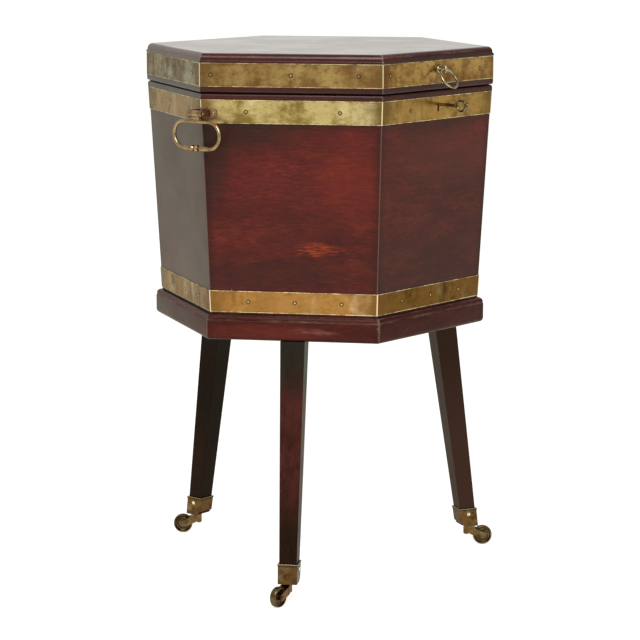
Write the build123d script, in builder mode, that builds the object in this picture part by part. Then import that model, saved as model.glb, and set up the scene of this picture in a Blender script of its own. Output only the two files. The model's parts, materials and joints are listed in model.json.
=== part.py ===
from build123d import *
from math import atan2, cos, degrees, radians, sin, tan
import os

# Antique cellarette: a six-sided tapering case with a hinged lid, on three splayed legs with casters.
# Millimetres, +Z up. The origin is on the floor under the middle of the case, and the lock face looks
# along -Y. A face is named by its angle: 0 is the front, 60 the front right, 180 the back.

# Heights, from the floor up
cup_underside = 28.0
cup_height = 26.0
base_underside = 338.5
base_thickness = 26.5
foot_reveal = 9.0
lower_band_height = 28.0
panel_exposed = 216.5
upper_band_height = 30.0
rim_height = 8.0
lid_joint = 0.5
lid_band_height = 30.0
lid_board_thickness = 12.0
bead_height = 3.6

# Plan sizes: hexagons are given by the distance from the middle to a corner
case_foot_radius = 216.0
case_flare = 16.9
lid_step = 1.1
base_ledge = 10.0
base_arris = 1.2
foot_rounding = 2.4
moulding_height = 6.5
moulding_setback = 1.2
moulding_rounding = 5.6
wall = 12.0
rim_width = 16.0
rim_overhang = 0.6
bead_overhang = 1.2
bead_rounding = 1.3
bead_foot_rounding = 1.1
quirk_in = 0.4
lid_ovolo = 6.8
rim_rounding = 3.2
band_thickness = 0.9
band_seam = 0.4

# Legs
leg_top_side = 32.0
leg_foot_side = 23.0
leg_setback = 0.5
leg_splay = 40.2
leg_edge = 0.8
tenon_side = 18.0
tenon_length = 15.0

# Casters
cup_wall = 1.5
cup_floor = 2.0
cup_lip = 0.6
cup_lip_height = 2.2
cup_chamfer = 6.0
wheel_radius = 13.5
wheel_width = 9.0
wheel_web = 3.0
wheel_rim = 2.4
wheel_hub_radius = 4.2
fork_reach = 22.5
fork_cheek = 2.2
fork_eye_radius = 4.6
fork_root_height = 10.0
boss_radius = 4.3
boss_length = 12.0
pivot_radius = 2.3
axle_radius = 1.7
running_gap = 0.06
side_gap = 0.3
caster_screw_radius = 2.8
cup_screw_drop = 8.0
round_head_height = 1.6
round_head_edge = 1.2
rivet_flange = 0.9
rivet_height = 1.2
rivet_rounding = 1.0
axle_head_flange = 0.8
axle_head_height = 0.8
wheel_clearance = 0.8
wheel_draft = 0.7
tread_chamfer = 1.3
fork_root_middle = 2.6
fork_root_length = 3.4
fork_root_step = 0.6
cheek_start = 9.0

# Bottle divider and liner
liner_sheet = 1.5
liner_drop = 56.5
divider_board = 6.0
divider_height = 100.0
hub_apothem = 46.0
divider_gap = 0.3

# Hinges
hinge_spacing = 140.0
hinge_length = 45.0
hinge_leaf = 1.6
knuckle_radius = 3.0
knuckle_count = 5
hinge_pin_radius = 1.25
hinge_offset = 3.3
leaf_depth = 13.0
leaf_proud = 0.1
screw_head_radius = 2.4
screw_shank_radius = 1.2
hinge_screw_length = 6.0
screw_gap = 0.03
hinge_screw_inset = 5.5

# Carrying handles
bail_half_width = 38.7
bail_drop = 10.0
bail_height = 34.0
bail_wire = 2.4
bail_wire_low = 2.8
bail_bud = 3.6
bail_bead = 4.2
bail_bead_width = 4.6
bail_gap = 5.0
bail_neck = 1.3
knuckle_width = 10.4
handle_knuckle_radius = 4.6
handle_stand_off = 8.0
handle_height_in_band = 12.5
handle_pin_radius = 1.6
lug_width = 6.0
plate_thickness = 1.3
plate_half_width = 18.5
plate_half_height = 7.5
plate_rounding = 6.0
plate_screw_inset = 16.2
plate_screw_radius = 2.5
bail_web = 3.3
bud_shoulder = 2.0
bail_bead_edge = 1.6
handle_pin_head_flange = 0.8
handle_pin_head_height = 1.2
handle_pin_head_edge = 0.9

# Ring pull
ring_radius = 13.9
ring_wire = 1.6
ring_tilt = 35.0
ring_stand_off = 7.0
ring_height_in_band = 18.5
eye_radius = 5.3
eye_hole = 2.2
eye_width = 4.6
rosette_radius = 6.2
rosette_thickness = 1.6
rosette_rounding = 1.0
eye_stem_radius = 2.0
eye_neck_radius = 2.6
eye_neck_length = 4.85
eye_rounding = 1.4

# Lock and key
keyhole_drop = 10.5
keyhole_radius = 2.4
keyhole_slot = 3.4
keyhole_slot_depth = 9.0
keyhole_lead = 3.0
lock_half_width = 26.0
lock_depth = 10.0
lock_height = 37.0
lock_plate = 1.2
lock_top_plate = 2.0
lock_top_margin = 6.0
cover_screw_height = 0.9
cover_screw_inset = 4.0
wood_before_lock = 4.0
bolt_thickness = 3.0
bolt_travel = 6.5
bolt_body_length = 20.5
bolt_height = 7.8
bolt_nose_start = 0.5
bolt_tooth_width = 2.0
bolt_tooth_bite = 3.0
nose_height = 3.6
staple_thickness = 3.0
staple_play = 0.7
staple_bar = 2.2
staple_lead = 1.0
link_half_width = 18.0
link_screw_offset = 13.0
link_depth = 9.0
link_plate_thickness = 1.6
key_shank = 2.0
key_reach = 45.0
key_bit_radius = 8.0
key_bit_thickness = 2.6
key_bit_length = 5.0
key_tip = 0.8
key_collar_radius = 3.0
key_collar_length = 2.4
key_collar_edge = 0.9
key_ward_width = 1.0
key_ward_depth = 3.2
key_ward_drop = 5.2
bow_radius = 6.7
bow_wire = 1.5

# Pins that hold the bands
band_pin_radius = 2.0
band_pin_gap = 0.03
band_pin_proud = 0.25
lower_pin_shares = (0.23, 0.51, 0.79)
upper_pin_shares = (0.25, 0.77)
lid_pin_shares = (0.06, 0.5, 0.87)
ring_face_pin_shares = (0.06, 0.87)

# Worked-out plan sizes: the rim, the lid and the base follow the case
case_rim_radius = case_foot_radius + case_flare
lid_radius = case_rim_radius + lid_step
base_radius = case_foot_radius + base_ledge

# Worked-out heights
cup_top = cup_underside + cup_height
base_top = base_underside + base_thickness
lower_band_bottom = base_top + foot_reveal
lower_band_top = lower_band_bottom + lower_band_height
upper_band_bottom = lower_band_top + panel_exposed
upper_band_top = upper_band_bottom + upper_band_height
case_top = upper_band_top + rim_height
liner_top = case_top - liner_drop
lid_bottom = case_top + lid_joint
lid_band_bottom = lid_bottom + rim_height
lid_band_top = lid_band_bottom + lid_band_height
lid_top = lid_band_top + lid_board_thickness
cavity_floor = base_top + wall
liner_floor = cavity_floor + liner_sheet

face_angles = (0, 60, 120, 180, 240, 300)
leg_angles = {"front_left": -60, "front_right": 60, "back": 180}
caster_headings = {"front_left": 183, "front_right": -50, "back": 130}
panel_names = {
    0: "front",
    60: "front_right",
    120: "back_right",
    180: "back",
    240: "back_left",
    300: "front_left",
}


def apothem(radius):
    """Distance from the middle of a hexagon to the middle of a side."""
    return radius * cos(radians(30))


def corner(flat):
    """Distance from the middle to a corner of the hexagon whose side is this far out."""
    return flat / cos(radians(30))


def case_radius(z):
    """Corner radius of the case's wooden wall at a height."""
    share = (z - base_top) / (case_top - base_top)
    return case_foot_radius + (case_rim_radius - case_foot_radius) * share


def case_flat(z):
    """Distance from the middle to the outer face of the case's wall at a height."""
    return apothem(case_radius(z))


case_lean = degrees(atan2(case_flat(case_top) - case_flat(base_top), case_top - base_top))
lid_flat = apothem(lid_radius)
lid_rim_flat = lid_flat + rim_overhang
case_rim_flat = case_flat(case_top) + rim_overhang
base_flat = apothem(base_radius)
leg_top_reach = base_flat - leg_top_side / 2 - leg_setback


def level(z, angle=0.0):
    """Horizontal plane at a height, turned so that its -Y looks out of the face at an angle."""
    turn = radians(angle)
    return Plane(origin=(0, 0, z), x_dir=(cos(turn), sin(turn), 0), z_dir=(0, 0, 1))


def face_plane(angle, z, flat, lean=0.0):
    """Plane on a side face: x along the face, z outwards, leaning down with the taper."""
    turn = radians(angle)
    tip = radians(lean)
    out = Vector(sin(turn), -cos(turn), 0)
    normal = out * cos(tip) - Vector(0, 0, sin(tip))
    return Plane(origin=out * flat + Vector(0, 0, z), x_dir=(cos(turn), sin(turn), 0), z_dir=normal)


def hexagon(z, flat):
    """Hexagon sketch at a height, given by the distance to its sides."""
    with BuildSketch(level(z)) as outline:
        RegularPolygon(corner(flat), 6)
    return outline.sketch


def wall_section(z, flat, thickness, angle):
    """Mitred section of one wall: a trapezoid whose ends lie on the corner planes."""
    inner = flat - thickness
    half = tan(radians(30))
    with BuildSketch(level(z, angle)) as section:
        Polygon(
            (-flat * half, -flat),
            (flat * half, -flat),
            (inner * half, -inner),
            (-inner * half, -inner),
            align=None,
        )
    return section.sketch


def upright(origin, heading):
    """Vertical plane whose x runs along a heading and whose y points up."""
    turn = radians(heading)
    return Plane(origin=origin, x_dir=(cos(turn), sin(turn), 0), z_dir=(sin(turn), -cos(turn), 0))


def mitre():
    """Saw the ring in hand into six lengths, along the planes through its corners."""
    for heading in (0, 60, 120):
        turn = radians(heading)
        split(bisect_by=Plane(origin=(0, 0, 0), z_dir=(sin(turn), -cos(turn), 0)), keep=Keep.BOTH)


def finish(builder, name):
    """Label a finished piece and write it."""
    builder.part.label = name
    export_step(builder.part, f"parts/{name}.step")


os.makedirs("parts", exist_ok=True)

# Lock places, on the front face
key_height = upper_band_top - keyhole_drop
lock_front = case_flat(key_height) - wood_before_lock
lock_back = lock_front - lock_depth
lock_bottom = case_top - lock_height
cavity_depth = lock_depth - 2 * lock_plate
lock_middle = lock_front - lock_plate - cavity_depth / 2
bolt_top = case_top - lock_top_plate - side_gap
bolt_bottom = bolt_top - bolt_height
staple_start = bolt_travel + staple_lead
link_screw_places = [
    Location((x, -lock_middle, lid_bottom), (180, 0, 0))
    for x in (-link_screw_offset, link_screw_offset)
]


def keyhole():
    """Keyhole cutter: a round hole with a slot below it, sunk from the front into the lock."""
    with BuildPart() as cutter:
        with BuildSketch(face_plane(0, key_height, case_flat(key_height) + keyhole_lead)):
            Circle(keyhole_radius)
            with Locations((0, -keyhole_slot_depth / 2)):
                Rectangle(keyhole_slot, keyhole_slot_depth)
        extrude(amount=-wall)
    return cutter.part


# Base board: a thick hexagon with eased edges, mortised for the legs
with BuildPart() as base_board:
    extrude(hexagon(base_underside, base_flat), amount=base_thickness)
    fillet(base_board.faces().sort_by(Axis.Z)[0].edges(), foot_rounding)
    fillet(base_board.faces().sort_by(Axis.Z)[-1].edges(), base_arris)
    for leg_angle in leg_angles.values():
        with BuildSketch(level(base_underside, leg_angle)):
            with Locations((0, -leg_top_reach)):
                Rectangle(tenon_side, tenon_side)
        extrude(amount=tenon_length, mode=Mode.SUBTRACT)
finish(base_board, "base_board")

# Ovolo moulding planted on the base board, six mitred lengths round the foot of the case
moulding_flat = base_flat - moulding_setback
moulding_top = base_top + moulding_height

with BuildPart() as base_moulding:
    extrude(hexagon(base_top, moulding_flat), amount=moulding_height)
    fillet(base_moulding.faces().sort_by(Axis.Z)[-1].edges(), moulding_rounding)
    loft(
        [hexagon(base_top, case_flat(base_top)), hexagon(moulding_top, case_flat(moulding_top))],
        ruled=True,
        mode=Mode.SUBTRACT,
    )
    mitre()
finish(base_moulding, "base_moulding")

# Bottom board, let in between the side panels
with BuildPart() as bottom_board:
    loft(
        [
            hexagon(base_top, case_flat(base_top) - wall),
            hexagon(cavity_floor, case_flat(cavity_floor) - wall),
        ],
        ruled=True,
    )
finish(bottom_board, "bottom_board")

# Side panels: mitred and tapering, the front one cut for the key and the lock
lock_recess = Box(
    2 * lock_half_width,
    lock_front - lock_back + wall,
    lock_height,
    align=(Align.CENTER, Align.MIN, Align.MIN),
).moved(Location((0, -lock_front, lock_bottom)))

for angle, place in panel_names.items():
    with BuildPart() as side_panel:
        loft(
            [
                wall_section(base_top, case_flat(base_top), wall, angle),
                wall_section(upper_band_top, case_flat(upper_band_top), wall, angle),
            ],
            ruled=True,
        )
        if place == "front":
            add(keyhole(), mode=Mode.SUBTRACT)
            add(lock_recess, mode=Mode.SUBTRACT)
    finish(side_panel, f"side_panel_{place}")

# Hinge places: the pins lie behind the back, level with the joint of case and lid
hinge_axis_y = lid_rim_flat + hinge_offset
hinge_axis_z = case_top + lid_joint / 2
hinge_places = (-hinge_spacing / 2, hinge_spacing / 2)
knuckle_pitch = hinge_length / knuckle_count
leaf_inner = lid_rim_flat - leaf_depth
leaf_room = hinge_length + 2 * side_gap
leaf_cut = leaf_depth + rim_overhang + hinge_offset
screw_spots = [
    (place + step * hinge_length / 3, leaf_inner + hinge_screw_inset)
    for place in hinge_places
    for step in (-1, 0, 1)
]
case_screw_places = [Location((x, y, case_top + leaf_proud)) for x, y in screw_spots]
lid_screw_places = [Location((x, y, lid_bottom - leaf_proud), (180, 0, 0)) for x, y in screw_spots]


def countersunk(swell=0.0):
    """Countersunk screw, head uppermost at z 0; swell makes its hole."""
    head_depth = screw_head_radius - screw_shank_radius
    with BuildPart() as screw:
        with BuildSketch(Plane.XZ):
            Polygon(
                (0, 0),
                (screw_head_radius + swell, 0),
                (screw_shank_radius + swell, -head_depth),
                (screw_shank_radius + swell, -hinge_screw_length - swell),
                (0, -hinge_screw_length - swell),
                align=None,
            )
        revolve(axis=Axis.Z)
    return screw.part


def rim_blank(bottom, flat, rounded_low):
    """Ring of rim moulding with the edge at the lid joint rounded."""
    with BuildPart() as ring:
        extrude(hexagon(bottom, flat), amount=rim_height)
        low, high = ring.faces().filter_by(Axis.Z).sort_by(Axis.Z)
        fillet((low if rounded_low else high).edges(), rim_rounding)
        extrude(hexagon(bottom, flat - rim_width), amount=rim_height, mode=Mode.SUBTRACT)
    return ring.part


def leaf_beds(z):
    """Cutter for the beds of the hinge leaves in a rim, centred on the joint face."""
    with BuildPart() as beds:
        for place in hinge_places:
            with Locations((place, leaf_inner, z)):
                Box(
                    leaf_room,
                    leaf_cut,
                    2 * (hinge_leaf - leaf_proud),
                    align=(Align.CENTER, Align.MIN, Align.CENTER),
                )
    return beds.part


# Rim moulding round the top of the case, six mitred lengths
with BuildPart() as case_rim:
    add(rim_blank(upper_band_top, case_rim_flat, rounded_low=False))
    add(lock_recess, mode=Mode.SUBTRACT)
    with Locations((0, -lock_front, case_top)):
        Box(
            2 * (lock_half_width + lock_top_margin),
            lock_depth + wall,
            2 * lock_top_plate,
            align=(Align.CENTER, Align.MIN, Align.CENTER),
            mode=Mode.SUBTRACT,
        )
    add(leaf_beds(case_top), mode=Mode.SUBTRACT)
    with Locations(*case_screw_places):
        add(countersunk(screw_gap), mode=Mode.SUBTRACT)
    mitre()
finish(case_rim, "case_rim")


def brass_band(bottom, top, flat_low, flat_high):
    """Brass strip bent round the hexagon, butted at the middle of the back."""
    with BuildPart() as band:
        loft(
            [hexagon(bottom, flat_low + band_thickness), hexagon(top, flat_high + band_thickness)],
            ruled=True,
        )
        loft([hexagon(bottom, flat_low), hexagon(top, flat_high)], ruled=True, mode=Mode.SUBTRACT)
        with Locations((0, flat_high, (bottom + top) / 2)):
            Box(band_seam, wall, 2 * (top - bottom), mode=Mode.SUBTRACT)
    return band.part


def pin_places(z, flat, lean, shares, front_shares):
    """Places of the band pins, as shares of each face's width, on the wood under the band."""
    face_width = corner(flat)
    places = []
    for angle in face_angles:
        face = face_plane(angle, z, flat, lean).location
        for share in front_shares if angle == 0 else shares:
            places.append(face * Location(((share - 0.5) * face_width, 0, 0)))
    return places


def pin_holes(places):
    """Cutter for the pins' holes in a band."""
    with BuildPart() as holes:
        with Locations(*places):
            Cylinder(band_pin_radius + band_pin_gap, 4 * band_thickness)
    return holes.part


def band_pins(places):
    """Brass pins: plugs through the band, filed off a little proud of it."""
    with BuildPart() as pins:
        with Locations(*places):
            Cylinder(
                band_pin_radius,
                band_thickness + band_pin_proud,
                align=(Align.CENTER, Align.CENTER, Align.MIN),
            )
    return pins.part


lower_pin_height = (lower_band_bottom + lower_band_top) / 2
upper_pin_height = (upper_band_bottom + upper_band_top) / 2
lid_pin_height = (lid_band_bottom + lid_band_top) / 2

# The lid's front is pinned at its ends only, clear of the ring pull
lower_pins = pin_places(
    lower_pin_height,
    case_flat(lower_pin_height),
    case_lean,
    lower_pin_shares,
    lower_pin_shares,
)
upper_pins = pin_places(
    upper_pin_height,
    case_flat(upper_pin_height),
    case_lean,
    upper_pin_shares,
    upper_pin_shares,
)
lid_pins = pin_places(lid_pin_height, lid_flat, 0, lid_pin_shares, ring_face_pin_shares)

# Lower brass band
with BuildPart() as lower_band:
    add(
        brass_band(
            lower_band_bottom,
            lower_band_top,
            case_flat(lower_band_bottom),
            case_flat(lower_band_top),
        )
    )
    add(pin_holes(lower_pins), mode=Mode.SUBTRACT)
finish(lower_band, "lower_band")

# Upper brass band, with the keyhole
with BuildPart() as upper_band:
    add(
        brass_band(
            upper_band_bottom,
            upper_band_top,
            case_flat(upper_band_bottom),
            case_flat(upper_band_top),
        )
    )
    add(keyhole(), mode=Mode.SUBTRACT)
    add(pin_holes(upper_pins), mode=Mode.SUBTRACT)
finish(upper_band, "upper_band")

with BuildPart() as case_band_pins:
    add(band_pins(lower_pins))
    add(band_pins(upper_pins))
finish(case_band_pins, "case_band_pins")


# Legs: square, tapering, splayed, tenoned into the base board
def leg_share(z):
    """How far down the leg a height lies: 0 at its top, 1 at the top of the cup."""
    return (base_underside - z) / (base_underside - cup_top)


def leg_reach(z):
    """Distance of the leg's middle from the middle of the case at a height."""
    return leg_top_reach + leg_splay * leg_share(z)


def leg_side(z):
    """Width of the leg at a height."""
    return leg_top_side + (leg_foot_side - leg_top_side) * leg_share(z)


def leg_section(z, angle, margin=0.0):
    """Square section of a leg at a height."""
    side = leg_side(z) + 2 * margin
    with BuildSketch(level(z, angle)) as section:
        with Locations((0, -leg_reach(z))):
            Rectangle(side, side)
    return section.sketch


cup_inside = cup_underside + cup_floor

for place, angle in leg_angles.items():
    with BuildPart() as leg:
        loft([leg_section(cup_inside, angle), leg_section(base_underside, angle)], ruled=True)
        fillet(leg.edges().sort_by(SortBy.LENGTH)[-4:], leg_edge)
        with BuildSketch(level(base_underside, angle)):
            with Locations((0, -leg_top_reach)):
                Rectangle(tenon_side, tenon_side)
        extrude(amount=tenon_length)
    finish(leg, f"leg_{place}")


# Caster cups: a square socket with a lip and the pivot pin riveted into its floor
def pivot_point(angle):
    """Middle of the cup's underside."""
    turn = radians(angle)
    reach = leg_reach(cup_underside)
    return Vector(sin(turn) * reach, -cos(turn) * reach, cup_underside)


pivot_length = boss_length + side_gap
cup_screw_height = cup_top - cup_screw_drop


def cup_side_plane(angle, side):
    """Plane on a side wall of a cup, at its screw."""
    turn = radians(angle)
    out = Vector(sin(turn), -cos(turn), 0)
    across = Vector(cos(turn), sin(turn), 0) * side
    reach = leg_reach(cup_screw_height)
    lean = atan2((leg_top_side - leg_foot_side) / 2, base_underside - cup_top)
    half = leg_side(cup_screw_height) / 2 + cup_wall
    normal = across * cos(lean) - Vector(0, 0, sin(lean))
    origin = out * reach + across * half + Vector(0, 0, cup_screw_height)
    return Plane(origin=origin, x_dir=out, z_dir=normal)


def round_head(radius):
    """Head of a round-head screw, seated on z 0."""
    with BuildPart() as head:
        Cylinder(radius, round_head_height, align=(Align.CENTER, Align.CENTER, Align.MIN))
        fillet(head.faces().sort_by(Axis.Z)[-1].edges(), round_head_edge)
    return head.part


for place, angle in leg_angles.items():
    with BuildPart() as caster_cup:
        loft(
            [leg_section(cup_underside, angle, cup_wall), leg_section(cup_top, angle, cup_wall)],
            ruled=True,
        )
        inwards = Axis((0, 0, 0), (-sin(radians(angle)), cos(radians(angle)), 0))
        low_edges = caster_cup.faces().sort_by(Axis.Z)[0].edges()
        chamfer(low_edges.sort_by(inwards)[-1], cup_chamfer)
        lip_bottom = cup_top - cup_lip_height
        extrude(leg_section(lip_bottom, angle, cup_wall + cup_lip), amount=cup_lip_height)
        lip_edges = caster_cup.faces().sort_by(Axis.Z)[-1].outer_wire().edges()
        fillet(lip_edges, cup_lip)
        loft(
            [leg_section(cup_inside, angle), leg_section(cup_top, angle)],
            ruled=True,
            mode=Mode.SUBTRACT,
        )
        foot = pivot_point(angle)
        with Locations(foot):
            Cylinder(pivot_radius, pivot_length, align=(Align.CENTER, Align.CENTER, Align.MAX))
        with Locations(foot - Vector(0, 0, pivot_length)):
            Cylinder(
                pivot_radius + rivet_flange,
                rivet_height,
                align=(Align.CENTER, Align.CENTER, Align.MAX),
            )
        fillet(caster_cup.faces().sort_by(Axis.Z)[0].edges(), rivet_rounding)
    finish(caster_cup, f"caster_cup_{place}")

# Round-head screws, one on each tangential side of every cup
with BuildPart() as caster_screws:
    for angle in leg_angles.values():
        for side in (-1, 1):
            with Locations(cup_side_plane(angle, side)):
                add(round_head(caster_screw_radius))
finish(caster_screws, "caster_screws")

# Caster forks, axles and wheels
fork_half = wheel_width / 2 + side_gap + fork_cheek
boss_top = cup_underside - side_gap

for place, angle in leg_angles.items():
    foot = pivot_point(angle)
    side_view = upright((foot.X, foot.Y, 0), caster_headings[place])
    along = side_view.x_dir
    axle_line = Axis(side_view.from_local_coords((fork_reach, wheel_radius, 0)), side_view.z_dir)
    wheel_plane = Plane(origin=axle_line.position, x_dir=along, z_dir=axle_line.direction)
    with BuildPart() as fork:
        with BuildSketch(side_view):
            with Locations((fork_reach, wheel_radius)):
                Circle(fork_eye_radius)
            with Locations((fork_root_middle, boss_top - fork_root_step)):
                Rectangle(fork_root_length, fork_root_height, align=(Align.CENTER, Align.MAX))
            make_hull()
        extrude(amount=fork_half, both=True)
        with BuildSketch(Plane(origin=(foot.X, foot.Y, 0), x_dir=along, z_dir=(0, 0, 1))):
            Circle(boss_radius)
            with Locations((cheek_start, 0)):
                Rectangle(fork_reach, 2 * fork_half, align=(Align.MIN, Align.CENTER))
            make_hull()
        extrude(amount=cup_underside, mode=Mode.INTERSECT)
        with Locations(wheel_plane):
            Cylinder(wheel_radius + wheel_clearance, wheel_width + 2 * side_gap, mode=Mode.SUBTRACT)
        with Locations((foot.X, foot.Y, boss_top)):
            Cylinder(boss_radius, boss_length, align=(Align.CENTER, Align.CENTER, Align.MAX))
        with Locations((foot.X, foot.Y, cup_underside)):
            Hole(pivot_radius + running_gap)
        with Locations(wheel_plane):
            Cylinder(axle_radius + running_gap, 4 * fork_half, mode=Mode.SUBTRACT)
    finish(fork, f"caster_fork_{place}")

    with BuildPart() as axle:
        with Locations(wheel_plane):
            Cylinder(axle_radius, 2 * fork_half)
            for end in (-1, 1):
                with Locations((0, 0, end * (fork_half + axle_head_height / 2))):
                    Cylinder(axle_radius + axle_head_flange, axle_head_height)
    finish(axle, f"caster_axle_{place}")

    with BuildPart() as wheel:
        half = wheel_width / 2
        web = wheel_web / 2
        rim_inside = wheel_radius - wheel_rim
        with BuildSketch(Plane(origin=axle_line.position, x_dir=along, z_dir=(0, 0, -1))):
            Polygon(
                (axle_radius + running_gap, -half),
                (wheel_hub_radius, -half),
                (wheel_hub_radius + wheel_draft, -web),
                (rim_inside - wheel_draft, -web),
                (rim_inside, -half),
                (wheel_radius - tread_chamfer, -half),
                (wheel_radius, tread_chamfer - half),
                (wheel_radius, half - tread_chamfer),
                (wheel_radius - tread_chamfer, half),
                (rim_inside, half),
                (rim_inside - wheel_draft, web),
                (wheel_hub_radius + wheel_draft, web),
                (wheel_hub_radius, half),
                (axle_radius + running_gap, half),
                align=None,
            )
        revolve(axis=axle_line)
    finish(wheel, f"caster_wheel_{place}")

# Metal liner of the case
with BuildPart() as liner:
    outer_low = case_flat(cavity_floor) - wall
    outer_high = case_flat(liner_top) - wall
    inner_low = case_flat(liner_floor) - wall - liner_sheet
    loft([hexagon(cavity_floor, outer_low), hexagon(liner_top, outer_high)], ruled=True)
    loft(
        [hexagon(liner_floor, inner_low), hexagon(liner_top, outer_high - liner_sheet)],
        ruled=True,
        mode=Mode.SUBTRACT,
    )
finish(liner, "liner")

# Bottle divider: a six-sided hub with a slat from each side of it to the liner
hub_outer = hub_apothem + divider_board
divider_floor = liner_floor
divider_top = divider_floor + divider_height

with BuildPart() as divider_hub:
    extrude(hexagon(divider_floor, hub_outer), amount=divider_height)
    extrude(hexagon(divider_floor, hub_apothem), amount=divider_height, mode=Mode.SUBTRACT)
    mitre()
finish(divider_hub, "divider_hub")


def slat_end(z):
    """Reach of a slat at a height: it stops just short of the liner."""
    return case_flat(z) - wall - liner_sheet - divider_gap


with BuildPart() as divider_slats:
    for angle in face_angles:
        heading = angle - 90
        with BuildSketch(upright((0, 0, 0), heading)):
            Polygon(
                (hub_outer, divider_floor),
                (slat_end(divider_floor), divider_floor),
                (slat_end(divider_top), divider_top),
                (hub_outer, divider_top),
                align=None,
            )
        extrude(amount=divider_board / 2, both=True)
finish(divider_slats, "divider_slats")

# Lid: board with a moulded edge over six mitred rails, a rim moulding below
with BuildPart() as lid_board:
    extrude(hexagon(lid_band_top, lid_flat + bead_overhang), amount=bead_height)
    fillet(lid_board.faces().sort_by(Axis.Z)[-1].edges(), bead_rounding)
    fillet(lid_board.faces().sort_by(Axis.Z)[0].edges(), bead_foot_rounding)
    upper = lid_top - lid_band_top - bead_height
    extrude(hexagon(lid_band_top + bead_height, lid_flat - quirk_in), amount=upper)
    fillet(lid_board.faces().sort_by(Axis.Z)[-1].edges(), lid_ovolo)
finish(lid_board, "lid_board")

with BuildPart() as lid_rails:
    extrude(hexagon(lid_band_bottom, lid_flat), amount=lid_band_height)
    extrude(hexagon(lid_band_bottom, lid_flat - wall), amount=lid_band_height, mode=Mode.SUBTRACT)
    mitre()
finish(lid_rails, "lid_rails")

with BuildPart() as lid_rim:
    add(rim_blank(lid_bottom, lid_rim_flat, rounded_low=True))
    add(leaf_beds(lid_bottom), mode=Mode.SUBTRACT)
    with Locations(*lid_screw_places):
        add(countersunk(screw_gap), mode=Mode.SUBTRACT)
    with Locations((0, -lock_middle, lid_bottom)):
        Box(2 * link_half_width, link_depth, 2 * link_plate_thickness, mode=Mode.SUBTRACT)
    with Locations(*link_screw_places):
        add(countersunk(screw_gap), mode=Mode.SUBTRACT)
    mitre()
finish(lid_rim, "lid_rim")

# Lid band, bored for the stem of the ring pull's eye
ring_height = lid_band_bottom + ring_height_in_band
ring_axis_y = -(lid_flat + band_thickness + ring_stand_off)
eye_plane = face_plane(0, ring_height, lid_flat + band_thickness)

with BuildPart() as lid_band:
    add(brass_band(lid_band_bottom, lid_band_top, lid_flat, lid_flat))
    add(pin_holes(lid_pins), mode=Mode.SUBTRACT)
    with Locations(eye_plane):
        Hole(eye_stem_radius + band_pin_gap, depth=2 * band_thickness)
finish(lid_band, "lid_band")

with BuildPart() as lid_band_pins:
    add(band_pins(lid_pins))
finish(lid_band_pins, "lid_band_pins")

# Eye of the ring pull: rosette, neck and a pierced flattened ball
with BuildPart() as ring_eye:
    with Locations(eye_plane):
        Cylinder(rosette_radius, rosette_thickness, align=(Align.CENTER, Align.CENTER, Align.MIN))
    fillet(ring_eye.edges().filter_by(GeomType.CIRCLE).sort_by(Axis.Y)[0], rosette_rounding)
    with Locations(eye_plane):
        Cylinder(eye_stem_radius, 2 * band_thickness)
        Cylinder(eye_neck_radius, eye_neck_length, align=(Align.CENTER, Align.CENTER, Align.MIN))
    with BuildSketch(Plane(origin=(0, ring_axis_y, ring_height), x_dir=(0, 1, 0), z_dir=(1, 0, 0))):
        Circle(eye_radius)
    extrude(amount=eye_width / 2, both=True)
    eye_edges = ring_eye.edges().filter_by(GeomType.CIRCLE)
    fillet(eye_edges.filter_by(lambda edge: edge.radius == eye_radius), eye_rounding)
    with Locations(Plane(origin=(0, ring_axis_y, ring_height), z_dir=(1, 0, 0))):
        Cylinder(eye_hole, 2 * eye_width, mode=Mode.SUBTRACT)
finish(ring_eye, "ring_eye")

# Ring pull, held out from the lid
tilt = radians(ring_tilt)
ring_down = Vector(0, -sin(tilt), -cos(tilt))
ring_middle = Vector(0, ring_axis_y, ring_height) + ring_down * ring_radius
ring_plane = Plane(origin=ring_middle, x_dir=(1, 0, 0), z_dir=ring_down.cross(Vector(1, 0, 0)))

with BuildPart() as ring_pull:
    with Locations(ring_plane):
        Torus(ring_radius, ring_wire)
finish(ring_pull, "ring_pull")


# Hinges: leaves let into the rims, with knuckles round a pin behind the back
def hinge_leaves(joint_z, lies_up, own_knuckles):
    """The two leaves of the case or of the lid, with their share of the knuckles."""
    rise = Align.MIN if lies_up else Align.MAX
    with BuildPart() as leaves:
        for place in hinge_places:
            with Locations((place, leaf_inner, joint_z)):
                Box(
                    hinge_length,
                    leaf_depth + hinge_offset,
                    hinge_leaf,
                    align=(Align.CENTER, Align.MIN, rise),
                )
            for number in range(knuckle_count):
                x = place + (number - (knuckle_count - 1) / 2) * knuckle_pitch
                with Locations(Location((x, hinge_axis_y, hinge_axis_z), (0, 90, 0))):
                    if number in own_knuckles:
                        Cylinder(knuckle_radius, knuckle_pitch - side_gap)
                    else:
                        Cylinder(
                            knuckle_radius + side_gap,
                            knuckle_pitch + side_gap,
                            mode=Mode.SUBTRACT,
                        )
            with Locations(Location((place, hinge_axis_y, hinge_axis_z), (0, 90, 0))):
                Cylinder(hinge_pin_radius + running_gap, 2 * hinge_length, mode=Mode.SUBTRACT)
        with Locations(*(lid_screw_places if lies_up else case_screw_places)):
            add(countersunk(screw_gap), mode=Mode.SUBTRACT)
    return leaves.part


def hinge_screws(places):
    """Countersunk screws at the given places."""
    with BuildPart() as screws:
        with Locations(*places):
            add(countersunk())
    return screws.part


with BuildPart() as hinge_case_leaves:
    add(hinge_leaves(case_top + leaf_proud, False, (0, 2, 4)))
finish(hinge_case_leaves, "hinge_case_leaves")

with BuildPart() as hinge_lid_leaves:
    add(hinge_leaves(lid_bottom - leaf_proud, True, (1, 3)))
finish(hinge_lid_leaves, "hinge_lid_leaves")

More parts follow.
